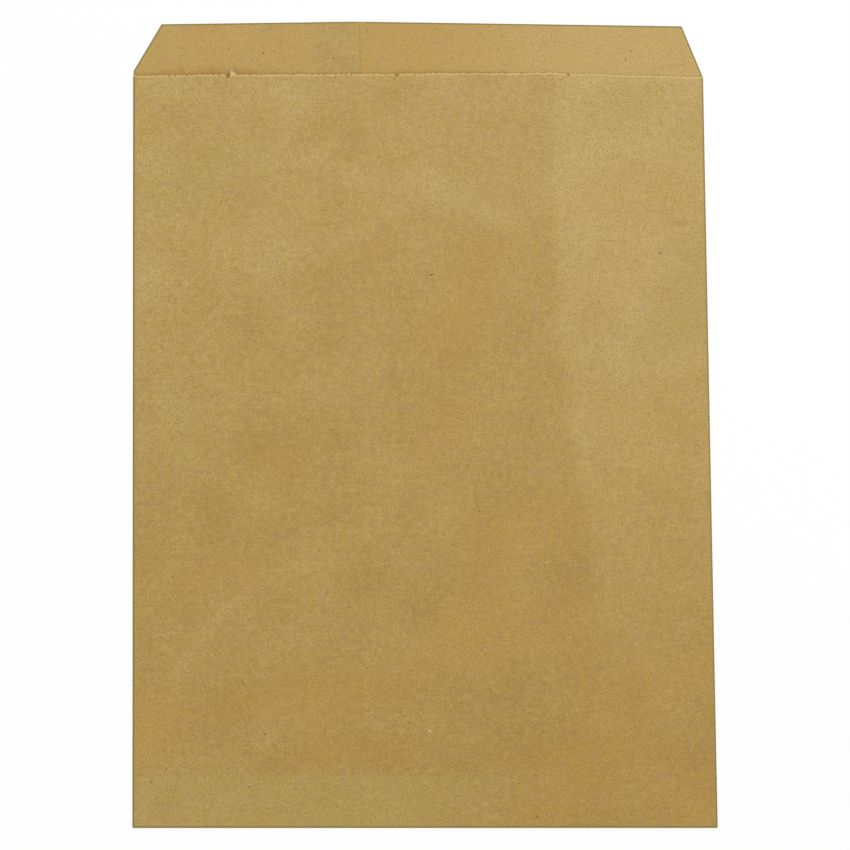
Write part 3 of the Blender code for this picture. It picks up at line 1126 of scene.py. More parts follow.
    def warmth(self, u: np.ndarray, v: np.ndarray) -> np.ndarray:
        """How far the paper leans from olive towards orange.

        The single layer of the lip is warmer than the lap, the front's lower parts and dark patches are
        browner, and its band over the flap is more olive to the left.

        Args:
            u: Across the blank.
            v: Along the blank.
        Returns:
            The warmth, from about -1 to 1.
        """
        s = self.shape.sizes
        x = np.where(np.abs(u) < s.back_start, u, self.shape.back_x(u))
        lap = self.band(x, s.lap_x, s.seam_edge_x, 0.0006)
        lip = self.lip_warmth + self.lap_warmth * lap
        lip = lip + self.single_layer_warmth * eased(x, s.seam_edge_x, 0.0004)
        lip = lip + self.lip_right_warmth * eased(x, -0.01, 0.07)
        flap = (1 - eased(v, s.flap_length, 0.0012)) * (1 - eased(x, 0.0, 0.05))
        low_left = (1 - eased(x, -s.half_front, 0.04)) * (1 - eased(v, 0.12, 0.06))
        front = self.low_right_warmth * self.low_right(x, v)
        front = front + self.low_left_warmth * low_left + self.flap_warmth * flap
        # The darker patches of painted shade are also browner.
        for one in self.shape.stains:
            front = front + self.stain_warmth * max(-one.tone, 0.0) * one.share(x, v)
        front = front + self.wave_warmth * self.warmth_waves.values(x, v)
        return np.where(np.abs(u) < s.back_start, front, lip)

    def above_mouth(self, u: np.ndarray, v: np.ndarray) -> np.ndarray:
        """How far each point of the back lies above the front's cut, and a far value on the front itself."""
        s = self.shape.sizes
        x = self.shape.back_x(u)
        return np.where(np.abs(u) < s.back_start, 1.0, -self.shape.below_mouth(x, v))

    def shade_reach(self, u: np.ndarray) -> np.ndarray:
        """How far the painted shadow above the mouth reaches up the lip, which is most around the left nick.
        """
        return np.interp(self.shape.back_x(u), *zip(*self.shades))


class NodeBench:
    """Adds nodes to one shader tree and links them."""

    def __init__(self, tree: bpy.types.NodeTree) -> None:
        """Works on the given tree."""
        self.tree = tree

    def add(self, kind: str, **settings: object) -> bpy.types.Node:
        """Adds a node.

        Args:
            kind: Its type, as Blender names it.
            settings: Its own properties.
        Returns:
            The node.
        """
        node = self.tree.nodes.new(kind)
        for name, value in settings.items():
            setattr(node, name, value)
        return node

    def feed(self, socket: Socket, value: SocketOrNumber) -> None:
        """Links a socket to an input, or sets the input to a plain value."""
        if isinstance(value, bpy.types.NodeSocket):
            self.tree.links.new(value, socket)
        else:
            socket.default_value = value

    def calculate(self, operation: str, *values: SocketOrNumber, clamp: bool = False) -> Socket:
        """A Math node.

        Args:
            operation: What it does, as Blender names it.
            values: Its inputs, in order.
            clamp: Is the result held between 0 and 1?
        Returns:
            Its result.
        """
        node = self.add("ShaderNodeMath", operation=operation, use_clamp=clamp)
        for socket, value in zip(node.inputs, values):
            self.feed(socket, value)
        return node.outputs[0]

    def centred(self, mask: Socket, gain: float) -> Socket:
        """A mask that lies around a half, moved to lie around nothing and made stronger by a gain."""
        return self.calculate("MULTIPLY_ADD", mask, gain, -gain / 2)

    def remap(
        self, value: Socket, low: float, high: float, to_low: float = 0.0, to_high: float = 1.0
    ) -> Socket:
        """A smooth, clamped change of range.

        Args:
            value: What is remapped.
            low: Where it starts.
            high: Where it ends.
            to_low: The result at the start.
            to_high: The result at the end.
        Returns:
            The remapped value.
        """
        node = self.add("ShaderNodeMapRange", interpolation_type="SMOOTHSTEP")
        for socket, number in zip(node.inputs, (value, low, high, to_low, to_high)):
            self.feed(socket, number)
        return node.outputs["Result"]

    def noise(self, vector: Socket, scale: float, detail: float = 2.0, roughness: float = 0.5) -> Socket:
        """A noise value around a half.

        Args:
            vector: Where it is read.
            scale: How many patches a metre.
            detail: How many finer octaves it has.
            roughness: How strong each octave is next to the one before.
        Returns:
            The noise value.
        """
        node = self.add("ShaderNodeTexNoise")
        self.feed(node.inputs["Vector"], vector)
        node.inputs["Scale"].default_value = scale
        node.inputs["Detail"].default_value = detail
        node.inputs["Roughness"].default_value = roughness
        return node.outputs["Fac"]

    def stretched(self, vector: Socket, turn: float, along: float, across: float) -> Socket:
        """The vector turned about Z and scaled, so that a pattern read from it is drawn out one way.

        Args:
            vector: Where a pattern is read.
            turn: Which way the pattern runs, in degrees.
            along: Scale along it.
            across: Scale across it.
        Returns:
            The changed vector.
        """
        node = self.add("ShaderNodeMapping", vector_type="TEXTURE")
        self.feed(node.inputs["Vector"], vector)
        node.inputs["Rotation"].default_value = (0.0, 0.0, math.radians(turn))
        node.inputs["Scale"].default_value = (along, across, 1.0)
        return node.outputs["Vector"]

    def mix(self, factor: SocketOrNumber, first: object, second: object) -> Socket:
        """A mix of two colours.

        Args:
            factor: How much of the second.
            first: A socket or a colour.
            second: A socket or a colour.
        Returns:
            The mixed colour.
        """
        node = self.add("ShaderNodeMix", data_type="RGBA")
        self.feed(node.inputs[0], factor)
        for socket, value in ((node.inputs[6], first), (node.inputs[7], second)):
            self.feed(socket, value if isinstance(value, bpy.types.NodeSocket) else (*value, 1.0))
        return node.outputs[2]

    def attribute(self, name: str, output: str = "Fac") -> Socket:
        """A value that the mesh carries in its points."""
        return self.add("ShaderNodeAttribute", attribute_name=name).outputs[output]


def new_material(name: str) -> tuple[bpy.types.Material, NodeBench, bpy.types.Node]:
    """A new material, the bench for its nodes and its shader."""
    material = bpy.data.materials.new(name)
    material.use_nodes = True
    return material, NodeBench(material.node_tree), material.node_tree.nodes["Principled BSDF"]


class PulpGroup:
    """The node group that every paper finish shares: what the pulp is made of, as masks over the sheet."""

    NAME = "kraft_pulp"
    OUTPUTS = ("Cloud", "Mottle", "Grain", "Blush", "Fibre", "Bark", "Pale", "Height")

    def tree(self) -> bpy.types.NodeTree:
        """The group, which is made the first time it is asked for."""
        known = bpy.data.node_groups.get(self.NAME)
        return known if known else self.build()

    def place_in(self, bench: NodeBench) -> bpy.types.Node:
        """Places the group in a material, where it reads each point's place on the blank."""
        pulp = bench.add("ShaderNodeGroup", node_tree=self.tree())
        bench.feed(pulp.inputs["Place"], bench.attribute("blank_place", "Vector"))
        return pulp

    def build(self) -> bpy.types.NodeTree:
        """Makes the group, which puts out one mask for each part of the pulp."""
        tree = bpy.data.node_groups.new(self.NAME, "ShaderNodeTree")
        tree.interface.new_socket("Place", in_out="INPUT", socket_type="NodeSocketVector")
        for name in self.OUTPUTS:
            tree.interface.new_socket(name, in_out="OUTPUT", socket_type="NodeSocketFloat")
        bench = NodeBench(tree)
        place = bench.add("NodeGroupInput").outputs["Place"]
        out = bench.add("NodeGroupOutput")
        grain = bench.noise(place, scale=1100.0, roughness=0.85)
        fibre = self.fibres(bench, place)
        made = {
            "Cloud": bench.noise(place, scale=60.0, detail=3.0, roughness=0.55),
            "Mottle": bench.noise(place, scale=330.0, detail=3.0, roughness=0.62),
            "Grain": grain,
            "Blush": bench.noise(place, scale=210.0, detail=4.0, roughness=0.70),
            "Fibre": fibre,
            "Bark": self.flecks(bench, place, scale=420.0, rarity=0.900, size=0.17, turn=25.0),
            "Pale": self.flecks(bench, place, scale=340.0, rarity=0.955, size=0.13, turn=-40.0),
            "Height": bench.calculate("MULTIPLY_ADD", fibre, 0.5, grain),
        }
        for name, socket in made.items():
            bench.feed(out.inputs[name], socket)
        return tree

    def fibres(self, bench: NodeBench, place: Socket) -> Socket:
        """Fine fibres that lie every way, most of them along the machine's run: three drawn-out noises, of
        which the strongest counts.

        Args:
            bench: Where the nodes go.
            place: The place on the blank.
        Returns:
            The fibre mask.
        """
        masks = []
        for turn, scale in ((82.0, 2400.0), (20.0, 2600.0), (-38.0, 2200.0)):
            drawn = bench.stretched(place, turn, along=7.0, across=1.0)
            masks.append(bench.remap(bench.noise(drawn, scale, detail=1.0), low=0.56, high=0.74))
        most = bench.calculate("MAXIMUM", masks[0], masks[1])
        return bench.calculate("MAXIMUM", most, masks[2])

    def flecks(
        self, bench: NodeBench, place: Socket, scale: float, rarity: float, size: float, turn: float
    ) -> Socket:
        """Small flecks: cells of a Voronoi pattern, of which only the rare ones show their middle.

        Args:
            bench: Where the nodes go.
            place: The place on the blank.
            scale: How many cells a metre.
            rarity: Which share of the cells stays empty.
            size: Radius of a fleck, in cells.
            turn: Which way the flecks are drawn out, in degrees.
        Returns:
            The mask of the flecks.
        """
        cells = bench.add("ShaderNodeTexVoronoi")
        bench.feed(cells.inputs["Vector"], bench.stretched(place, turn, along=1.9, across=1.0))
        cells.inputs["Scale"].default_value = scale
        chance = bench.add("ShaderNodeSeparateColor")
        bench.feed(chance.inputs[0], cells.outputs["Color"])
        shown = bench.remap(chance.outputs[0], rarity, rarity + 0.03)
        middle = bench.remap(cells.outputs["Distance"], size, size * 0.35)
        return bench.calculate("MULTIPLY", shown, middle)


@dataclass(frozen=True)
class KraftFinish:
    """Unbleached kraft paper: its colours, how strongly each part of the pulp shows, and how far in from an
    edge or a fold its painted shade, shadow and highlight start and are full."""

    name: str
    pulp: Colour = (0.391, 0.250, 0.059)
    # The shade and light colours also carry the painted sheen and shade in the sheet's tone.
    shade: Colour = (0.294, 0.162, 0.018)
    light: Colour = (0.550, 0.407, 0.162)
    grain_dark: Colour = (0.313, 0.188, 0.027)
    grain_light: Colour = (0.538, 0.365, 0.120)
    straw: Colour = (0.433, 0.286, 0.027)
    ash: Colour = (0.343, 0.208, 0.093)
    orange: Colour = (0.435, 0.242, 0.040)
    olive: Colour = (0.368, 0.262, 0.060)
    # Painted shadow on the lip above the mouth.
    stain: Colour = (0.375, 0.205, 0.030)
    bark: Colour = (0.200, 0.110, 0.022)
    pale: Colour = (0.650, 0.540, 0.300)
    # cut_light is the pale torn fibres with a painted highlight at the mouth, fold_dark the painted shade
    # along folds and knife edges, and valley the painted shadow in the tooth valleys.
    cut_light: Colour = (0.610, 0.445, 0.170)
    fold_dark: Colour = (0.215, 0.155, 0.022)
    valley: Colour = (0.240, 0.120, 0.020)
    roughness: float = 0.62
    specular: float = 0.42
    roughness_sway: float = 0.07
    relief: float = 0.00003
    relief_strength: float = 0.55
    cloud_gain: float = 1.4
    mottle_gain: float = 3.6
    light_gain: float = 0.5
    shade_gain: float = -0.8
    warmth_gain: float = 0.9
    blush_gain: float = 4.0
    blush_share: float = 0.5
    grain_gain: float = 5.6
    grain_light_gain: float = 0.5
    grain_dark_gain: float = -1.0
    fibre_share: float = 0.22
    bark_share: float = 0.60
    pale_share: float = 0.50
    # Strength and patchiness of the painted shadow above the mouth, and where it starts.
    stain_share: float = 0.72
    stain_patches: float = 3.2
    stain_start: float = 1.15
    # How far in from the mouth, a fold or a knife edge reach the pale torn fibres with their painted
    # highlight, the painted valley shadow and the painted fold and edge shade.
    torn_patches: float = 0.0014
    torn_reach: Span = (0.00105, 0.00045)
    valley_reach: Span = (0.00060, 0.00020)
    fold_reach: Span = (0.00115, 0.00045)
    knife_reach: Span = (0.00085, 0.00035)

    def material(self) -> bpy.types.Material:
        """The material, with its pulp, its tone, which carries painted sheen and shade, and painted shade and
        highlight along its edges.

        The pulp's colour is moved towards light or dark by the sheet's tone and its clouds, towards orange or
        olive by its warmth, towards straw or ash by its blush, and then covered by grain, fibres, flecks, a
        painted shadow above the mouth, painted shade along folds and knife edges, painted shadow in the tooth
        valleys, and pale torn fibres with a painted highlight at the mouth.

        Returns:
            The material.
        """
        material, bench, shader = new_material(self.name)
        pulp = PulpGroup().place_in(bench)
        colour = self.edge_colour(bench, pulp, self.body_colour(bench, pulp))
        bench.feed(shader.inputs["Base Color"], colour)
        smoothest, roughest = self.roughness - self.roughness_sway, self.roughness + self.roughness_sway
        rough = bench.remap(pulp.outputs["Mottle"], 0.2, 0.8, smoothest, roughest)
        bench.feed(shader.inputs["Roughness"], rough)
        shader.inputs["Specular IOR Level"].default_value = self.specular
        bump = bench.add("ShaderNodeBump")
        bump.inputs["Strength"].default_value = self.relief_strength
        bump.inputs["Distance"].default_value = self.relief
        bench.feed(bump.inputs["Height"], pulp.outputs["Height"])
        bench.feed(shader.inputs["Normal"], bump.outputs["Normal"])
        return material

    def body_colour(self, bench: NodeBench, pulp: bpy.types.Node) -> Socket:
        """The paper's colour away from its edges.

        Args:
            bench: Where the nodes go.
            pulp: The pulp group's node.
        Returns:
            The colour.
        """
        cloud = bench.centred(pulp.outputs["Cloud"], self.cloud_gain)
        mottle = bench.centred(pulp.outputs["Mottle"], self.mottle_gain)
        level = bench.calculate("ADD", bench.calculate("ADD", cloud, mottle), bench.attribute("tone"))
        warmth = bench.attribute("warmth")
        blush = bench.centred(pulp.outputs["Blush"], self.blush_gain)
        grain = bench.centred(pulp.outputs["Grain"], self.grain_gain)
        grain = bench.calculate("MULTIPLY", grain, bench.attribute("graininess"))
        steps = (
            (level, self.shade_gain, self.shade),
            (warmth, self.warmth_gain, self.orange),
            (warmth, -self.warmth_gain, self.olive),
            (blush, self.blush_share, self.straw),
            (blush, -self.blush_share, self.ash),
            (grain, self.grain_light_gain, self.grain_light),
            (grain, self.grain_dark_gain, self.grain_dark),
            (pulp.outputs["Fibre"], self.fibre_share, self.grain_light),
            (pulp.outputs["Bark"], self.bark_share, self.bark),
            (pulp.outputs["Pale"], self.pale_share, self.pale),
        )
        colour = self.swayed(bench, level, self.light_gain, self.pulp, self.light)
        for mask, gain, towards in steps:
            colour = self.swayed(bench, mask, gain, colour, towards)
        return colour

    def swayed(self, bench: NodeBench, mask: Socket, gain: float, colour: object, towards: Colour) -> Socket:
        """A colour moved towards another by a mask times a gain, held between none and all of it."""
        return bench.mix(bench.calculate("MULTIPLY", mask, gain, clamp=True), colour, towards)

    def edge_colour(self, bench: NodeBench, pulp: bpy.types.Node, colour: Socket) -> Socket:
        """The paper's colour with the painted shadow above the mouth, painted shade along folds and outer
        edges, and a torn mouth.

        The torn mouth has pale torn fibres with a painted highlight, and painted shadow in the valleys between
        its teeth.

        Args:
            bench: Where the nodes go.
            pulp: The pulp group's node.
            colour: The colour away from the edges.
        Returns:
            The colour.
        """
        # Painted shadow on the lip above the mouth, patchy and fading up the lip.
        above = bench.calculate("DIVIDE", bench.attribute("above_mouth"), bench.attribute("shade_reach"))
        patchy = bench.centred(pulp.outputs["Blush"], self.stain_patches)
        stained = bench.remap(bench.calculate("ADD", above, patchy), self.stain_start, 0.0)
        colour = self.swayed(bench, stained, self.stain_share, colour, self.stain)
        cut = bench.attribute("cut_distance")
        torn = bench.calculate("ADD", cut, bench.centred(pulp.outputs["Mottle"], self.torn_patches))
        # Painted shade along folds and knife edges, painted shadow in the tooth valleys, and pale torn fibres
        # with a painted highlight at the mouth.
        worn = (
            (bench.attribute("fold_distance"), self.fold_reach, "fold_wear", self.fold_dark),
            (torn, self.torn_reach, "torn_wear", self.cut_light),
            (cut, self.valley_reach, "valley_wear", self.valley),
            (cut, self.knife_reach, "knife_wear", self.fold_dark),
        )
        for distance, reach, wear, towards in worn:
            share = bench.calculate("MULTIPLY", bench.remap(distance, *reach), bench.attribute(wear))
            colour = bench.mix(share, colour, towards)
        return colour


@dataclass(frozen=True)
class CutEdgeFinish:
    """The cut edge of the paper, where the pulp is open, duller and a little darker."""

    name: str
    colour: Colour = (0.330, 0.225, 0.062)
    fibre: Colour = (0.520, 0.390, 0.180)

    def material(self) -> bpy.types.Material:
        """The material, with open fibres over a dull ground."""
        material, bench, shader = new_material(self.name)
        pulp = PulpGroup().place_in(bench)
        share = bench.remap(pulp.outputs["Grain"], low=0.35, high=0.75)
        bench.feed(shader.inputs["Base Color"], bench.mix(share, self.colour, self.fibre))
        shader.inputs["Roughness"].default_value = 0.9
        shader.inputs["Specular IOR Level"].default_value = 0.2
        return material


@dataclass(frozen=True)
class FleckFinish:
    """The flecks that lie in the pulp: bark, shives and bleached fibres, by the shade that each carries."""

    name: str
    bark: Colour = (0.085, 0.048, 0.010)
    shive: Colour = (0.250, 0.140, 0.030)
    bleached: Colour = (0.680, 0.580, 0.350)
    streak: float = 0.24

    def material(self) -> bpy.types.Material:
        """The material, which reads each fleck's shade and varies it a little along the fleck."""
        material, bench, shader = new_material(self.name)
        place = bench.add("ShaderNodeTexCoord").outputs["Object"]
        streak = bench.centred(bench.noise(place, scale=4200.0, detail=1.0), self.streak)
        shade = bench.calculate("ADD", bench.attribute("fleck_shade"), streak, clamp=True)
        ramp = bench.add("ShaderNodeValToRGB")
        bench.feed(ramp.inputs["Fac"], shade)
        ramp.color_ramp.elements[0].color = (*self.bark, 1.0)
        ramp.color_ramp.elements[1].color = (*self.bleached, 1.0)
        middle = ramp.color_ramp.elements.new(FleckKind.SHIVE.value)
        middle.color = (*self.shive, 1.0)
        bench.feed(shader.inputs["Base Color"], ramp.outputs["Color"])
        shader.inputs["Roughness"].default_value = 0.8
        return material


@dataclass(frozen=True)
class PasteFinish:
    """Dried brown paste between two layers of paper."""

    name: str
    colour: Colour = (0.300, 0.190, 0.075)
    clear: Colour = (0.420, 0.300, 0.150)

    def material(self) -> bpy.types.Material:
        """The material, with streaks where the paste was rolled on."""
        material, bench, shader = new_material(self.name)
        place = bench.add("ShaderNodeTexCoord").outputs["Object"]
        rolled = bench.stretched(place, turn=90.0, along=6.0, across=1.0)
        streaks = bench.remap(bench.noise(rolled, scale=900.0, roughness=0.6), low=0.35, high=0.7)
        bench.feed(shader.inputs["Base Color"], bench.mix(streaks, self.colour, self.clear))
        shader.inputs["Roughness"].default_value = 0.45
        return material


def mesh_object(name: str, points: np.ndarray, faces: Sequence[Sequence[int]]) -> bpy.types.Object:
    """An object at the origin, made from points and faces, shaded smooth.

    Args:
        name: The piece's name.
        points: One row of x, y and z a point, in the frame.
        faces: The point numbers of each face, outwards.
    Returns:
        The object, linked to the scene.
    """
    mesh = bpy.data.meshes.new(name)
    mesh.from_pydata(points.tolist(), [], faces)
    mesh.shade_smooth()
    mesh.update()
    made = bpy.data.objects.new(name, mesh)
    bpy.context.scene.collection.objects.link(made)
    return made


def give_attributes(piece: bpy.types.Object, **carried: np.ndarray) -> None:
    """Stores values in the points of the piece's mesh, each under its own name.

    Args:
        piece: The piece.
        carried: One number a point, or one row of three.
    """
    for name, values in carried.items():
        kind, field = ("FLOAT_VECTOR", "vector") if values.ndim == 2 else ("FLOAT", "value")
        layer = piece.data.attributes.new(name, kind, "POINT")
        layer.data.foreach_set(field, values.astype(np.float32).ravel())


def thicken(piece: bpy.types.Object, thickness: float, rim_material: int = 0) -> None:
    """Gives an open surface its thickness, half to each side.

    Args:
        piece: The piece.
        thickness: The whole thickness.
        rim_material: How many slots further the rim's material is.
    """
    wall = piece.modifiers.new("paper_thickness", "SOLIDIFY")
    wall.thickness = thickness
    wall.offset = 0.0
    wall.use_even_offset = True
    wall.material_offset_rim = rim_material


def settle(piece: bpy.types.Object) -> None:
    """Makes a piece part of the bag: it rides on its body."""
    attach(piece, BAG_BODY)


@dataclass(frozen=True)
class Fleck:
    """One fleck in the pulp: where it is, how long and wide it is, which way it lies and what it is."""

    x: float
    y: float
    length: float
    width: float
    turn: float
    kind: FleckKind


def fleck(x: float, y: float, length: float, width: float, turn: float, kind: FleckKind) -> Fleck:
    """A fleck given in millimetres and degrees."""
    return Fleck(x * MM, y * MM, length * MM, width * MM, math.radians(turn), kind)


FRONT_FLECKS = (
    fleck(3.8, 242.5, 2.2, 0.5, 12, FleckKind.BARK),
    fleck(106.0, 254.4, 1.1, 0.6, 40, FleckKind.BARK),
    fleck(23.9, 137.4, 1.2, 0.4, -50, FleckKind.BARK),
    fleck(47.9, 4.7, 0.8, 0.5, 30, FleckKind.BARK),
    fleck(-70.0, 40.1, 1.0, 0.6, 0, FleckKind.BARK),
    fleck(-112.5, 25.2, 0.9, 0.5, -15, FleckKind.BARK),
    fleck(-118.8, 19.4, 1.3, 0.4, 55, FleckKind.BARK),
    fleck(-76.8, 17.4, 1.1, 0.4, 90, FleckKind.BARK),
    fleck(-38.5, 36.7, 0.7, 0.4, 45, FleckKind.BARK),
    fleck(-38.6, 8.5, 0.7, 0.5, 0, FleckKind.BARK),
    fleck(-73.4, 7.9, 0.8, 0.4, -70, FleckKind.SHIVE),
    fleck(-95.2, 48.7, 0.8, 0.4, -40, FleckKind.SHIVE),
    fleck(-92.8, 47.3, 0.9, 0.3, 10, FleckKind.SHIVE),
    fleck(-7.6, 45.1, 0.8, 0.5, 20, FleckKind.SHIVE),
    fleck(-25.5, 49.8, 0.9, 0.5, 0, FleckKind.SHIVE),
    fleck(55.6, 331.7, 0.8, 0.5, 60, FleckKind.SHIVE),
    fleck(-6.4, 327.9, 0.7, 0.5, 0, FleckKind.SHIVE),
    fleck(-121.0, 20.5, 1.0, 0.6, 80, FleckKind.BLEACHED_FIBRE),
    fleck(-97.3, 30.0, 1.0, 0.5, -35, FleckKind.BLEACHED_FIBRE),
    fleck(-86.8, 24.5, 1.4, 0.4, -25, FleckKind.BLEACHED_FIBRE),
    fleck(-81.5, 15.6, 1.5, 0.4, 75, FleckKind.BLEACHED_FIBRE),
    fleck(-99.2, 319.7, 1.3, 0.5, -40, FleckKind.BLEACHED_FIBRE),
    fleck(1.4, 41.3, 2.0, 1.0, -20, FleckKind.BLEACHED_FIBRE),
    fleck(-99.0, 309.5, 1.4, 0.5, -35, FleckKind.BLEACHED_FIBRE),
    fleck(-58.8, 242.4, 1.3, 0.5, 60, FleckKind.BLEACHED_FIBRE),
    fleck(-21.8, 165.5, 1.1, 0.5, 15, FleckKind.BLEACHED_FIBRE),
    fleck(121.1, 153.6, 1.1, 0.6, 80, FleckKind.BLEACHED_FIBRE),
    fleck(-118.3, 56.2, 1.2, 0.6, 35, FleckKind.BLEACHED_FIBRE),
)

LIP_FLECKS = (
    fleck(-69.3, 343.2, 1.5, 0.5, -50, FleckKind.BARK),
    fleck(-84.8, 345.2, 0.9, 0.4, 60, FleckKind.SHIVE),
    fleck(-23.4, 354.4, 1.4, 0.35, -20, FleckKind.SHIVE),
    fleck(-38.2, 341.4, 1.1, 0.35, -75, FleckKind.BARK),
    fleck(94.7, 346.6, 1.0, 0.45, 30, FleckKind.BARK),
    fleck(92.3, 342.4, 0.7, 0.45, 70, FleckKind.BARK),
)


@dataclass(frozen=True)
class FleckLayer:
    """All the flecks that lie at the paper's surface, as thin lens shapes pressed into it."""

    shape: BagShape
    thickness: float = 0.00004
    corners: int = 8
    front_count: int = 230
    lip_count: int = 26
    front_margin: float = 0.004
    lip_margin: float = 0.002
    least_length: float = 0.0003
    length_spread: float = 0.0006
    width_span: Span = (0.35, 0.8)
    kind_shares: tuple[float, ...] = (0.06, 0.74, 0.20)
    seed: int = 31

    def random_flecks(self, count: int, low: Span, high: Span, salt: int) -> list[Fleck]:
        """Flecks strewn over a rectangle, most of them small shives.

        Args:
            count: How many.
            low: Lowest x and y.
            high: Highest x and y.
            salt: Keeps one rectangle's draw apart from another's.
        Returns:
            The flecks.
        """
        draw = np.random.default_rng(self.seed + salt)
        kinds = list(FleckKind)
        made = []
        for _ in range(count):
            x, y = draw.uniform(low, high)
            length = self.least_length + self.length_spread * draw.uniform() ** 2
            kind = kinds[int(draw.choice(len(kinds), p=self.kind_shares))]
            width = length * draw.uniform(*self.width_span)
            made.append(Fleck(x, y, length, width, draw.uniform(0, math.pi), kind))
        return made

    def lens(self, one: Fleck, height: np.ndarray) -> np.ndarray:
        """Points of one fleck: its rim round an ellipse, then its top and its under side.

        Args:
            one: The fleck.
            height: Height of the paper's surface at its rim, its top and its under side.
        Returns:
            One row of x, y and z a point.
        """
        x, y = self.outline(one)
        lift = np.concatenate((np.zeros(self.corners), [self.thickness, -self.thickness]))
        return np.column_stack((x, y - self.shape.sizes.middle_y, height + lift))

    def outline(self, one: Fleck) -> tuple[np.ndarray, np.ndarray]:
        """The x and y of one fleck's points, with its middle twice at the end."""
        angle = 2 * math.pi * np.arange(self.corners) / self.corners
        wobble = 1 + 0.22 * np.sin(3 * angle + one.x * 9000)
        along = np.concatenate((one.length / 2 * np.cos(angle) * wobble, [0.0, 0.0]))
        across = np.concatenate((one.width / 2 * np.sin(angle) * wobble, [0.0, 0.0]))
        x = one.x + along * math.cos(one.turn) - across * math.sin(one.turn)
        y = one.y + along * math.sin(one.turn) + across * math.cos(one.turn)
        return x, y

    def front_height(self, x: np.ndarray, y: np.ndarray) -> np.ndarray:
        """Height of the front panel's outer surface."""
        s = self.shape.sizes
        return self.shape.flap_lift(y) + 2 * s.side_radius + s.paper + self.shape.front_rise(x, y)

    def lip_height(self, x: np.ndarray, y: np.ndarray) -> np.ndarray:
        """Height of the lip's inner surface, the same at every y and a layer higher over the lap."""
        s = self.shape.sizes
        return s.paper + np.where(x < s.seam_edge_x, self.shape.seam_lift(x), 0.0)

    def build(self) -> bpy.types.Object:
        """Makes the layer of flecks.

        Returns:
            The finished piece.
        """
        s = self.shape.sizes
        side, upper = s.half_front - self.front_margin, s.front_length - self.front_margin
        front = list(FRONT_FLECKS)
        front += self.random_flecks(self.front_count, (-side, self.front_margin), (side, upper), 1)
        low = s.left_cut - s.half_front, s.front_length + s.mouth_peak + self.lip_margin
        high = s.half_front - s.right_cut, s.lip_end - self.lip_margin
        lip = list(LIP_FLECKS) + self.random_flecks(self.lip_count, low, high, 2)
        ring = np.arange(self.corners)
        after = np.roll(ring, -1)
        top = np.column_stack((ring, after, np.full(self.corners, self.corners)))
        under = np.column_stack((after, ring, np.full(self.corners, self.corners + 1)))
        one_lens = np.concatenate((top, under))
        points, faces, shades = [], [], []
        for group, height in ((front, self.front_height), (lip, self.lip_height)):
            for one in group:
                faces.extend((one_lens + len(points) * (self.corners + 2)).tolist())
                points.append(self.lens(one, height(*self.outline(one))))
                shades.append(np.full(self.corners + 2, one.kind.value))
        piece = mesh_object("pulp_flecks", np.concatenate(points), faces)
        give_attributes(piece, fleck_shade=np.concatenate(shades))
        piece.data.materials.append(FleckFinish("wood_flecks").material())
        settle(piece)
        return piece


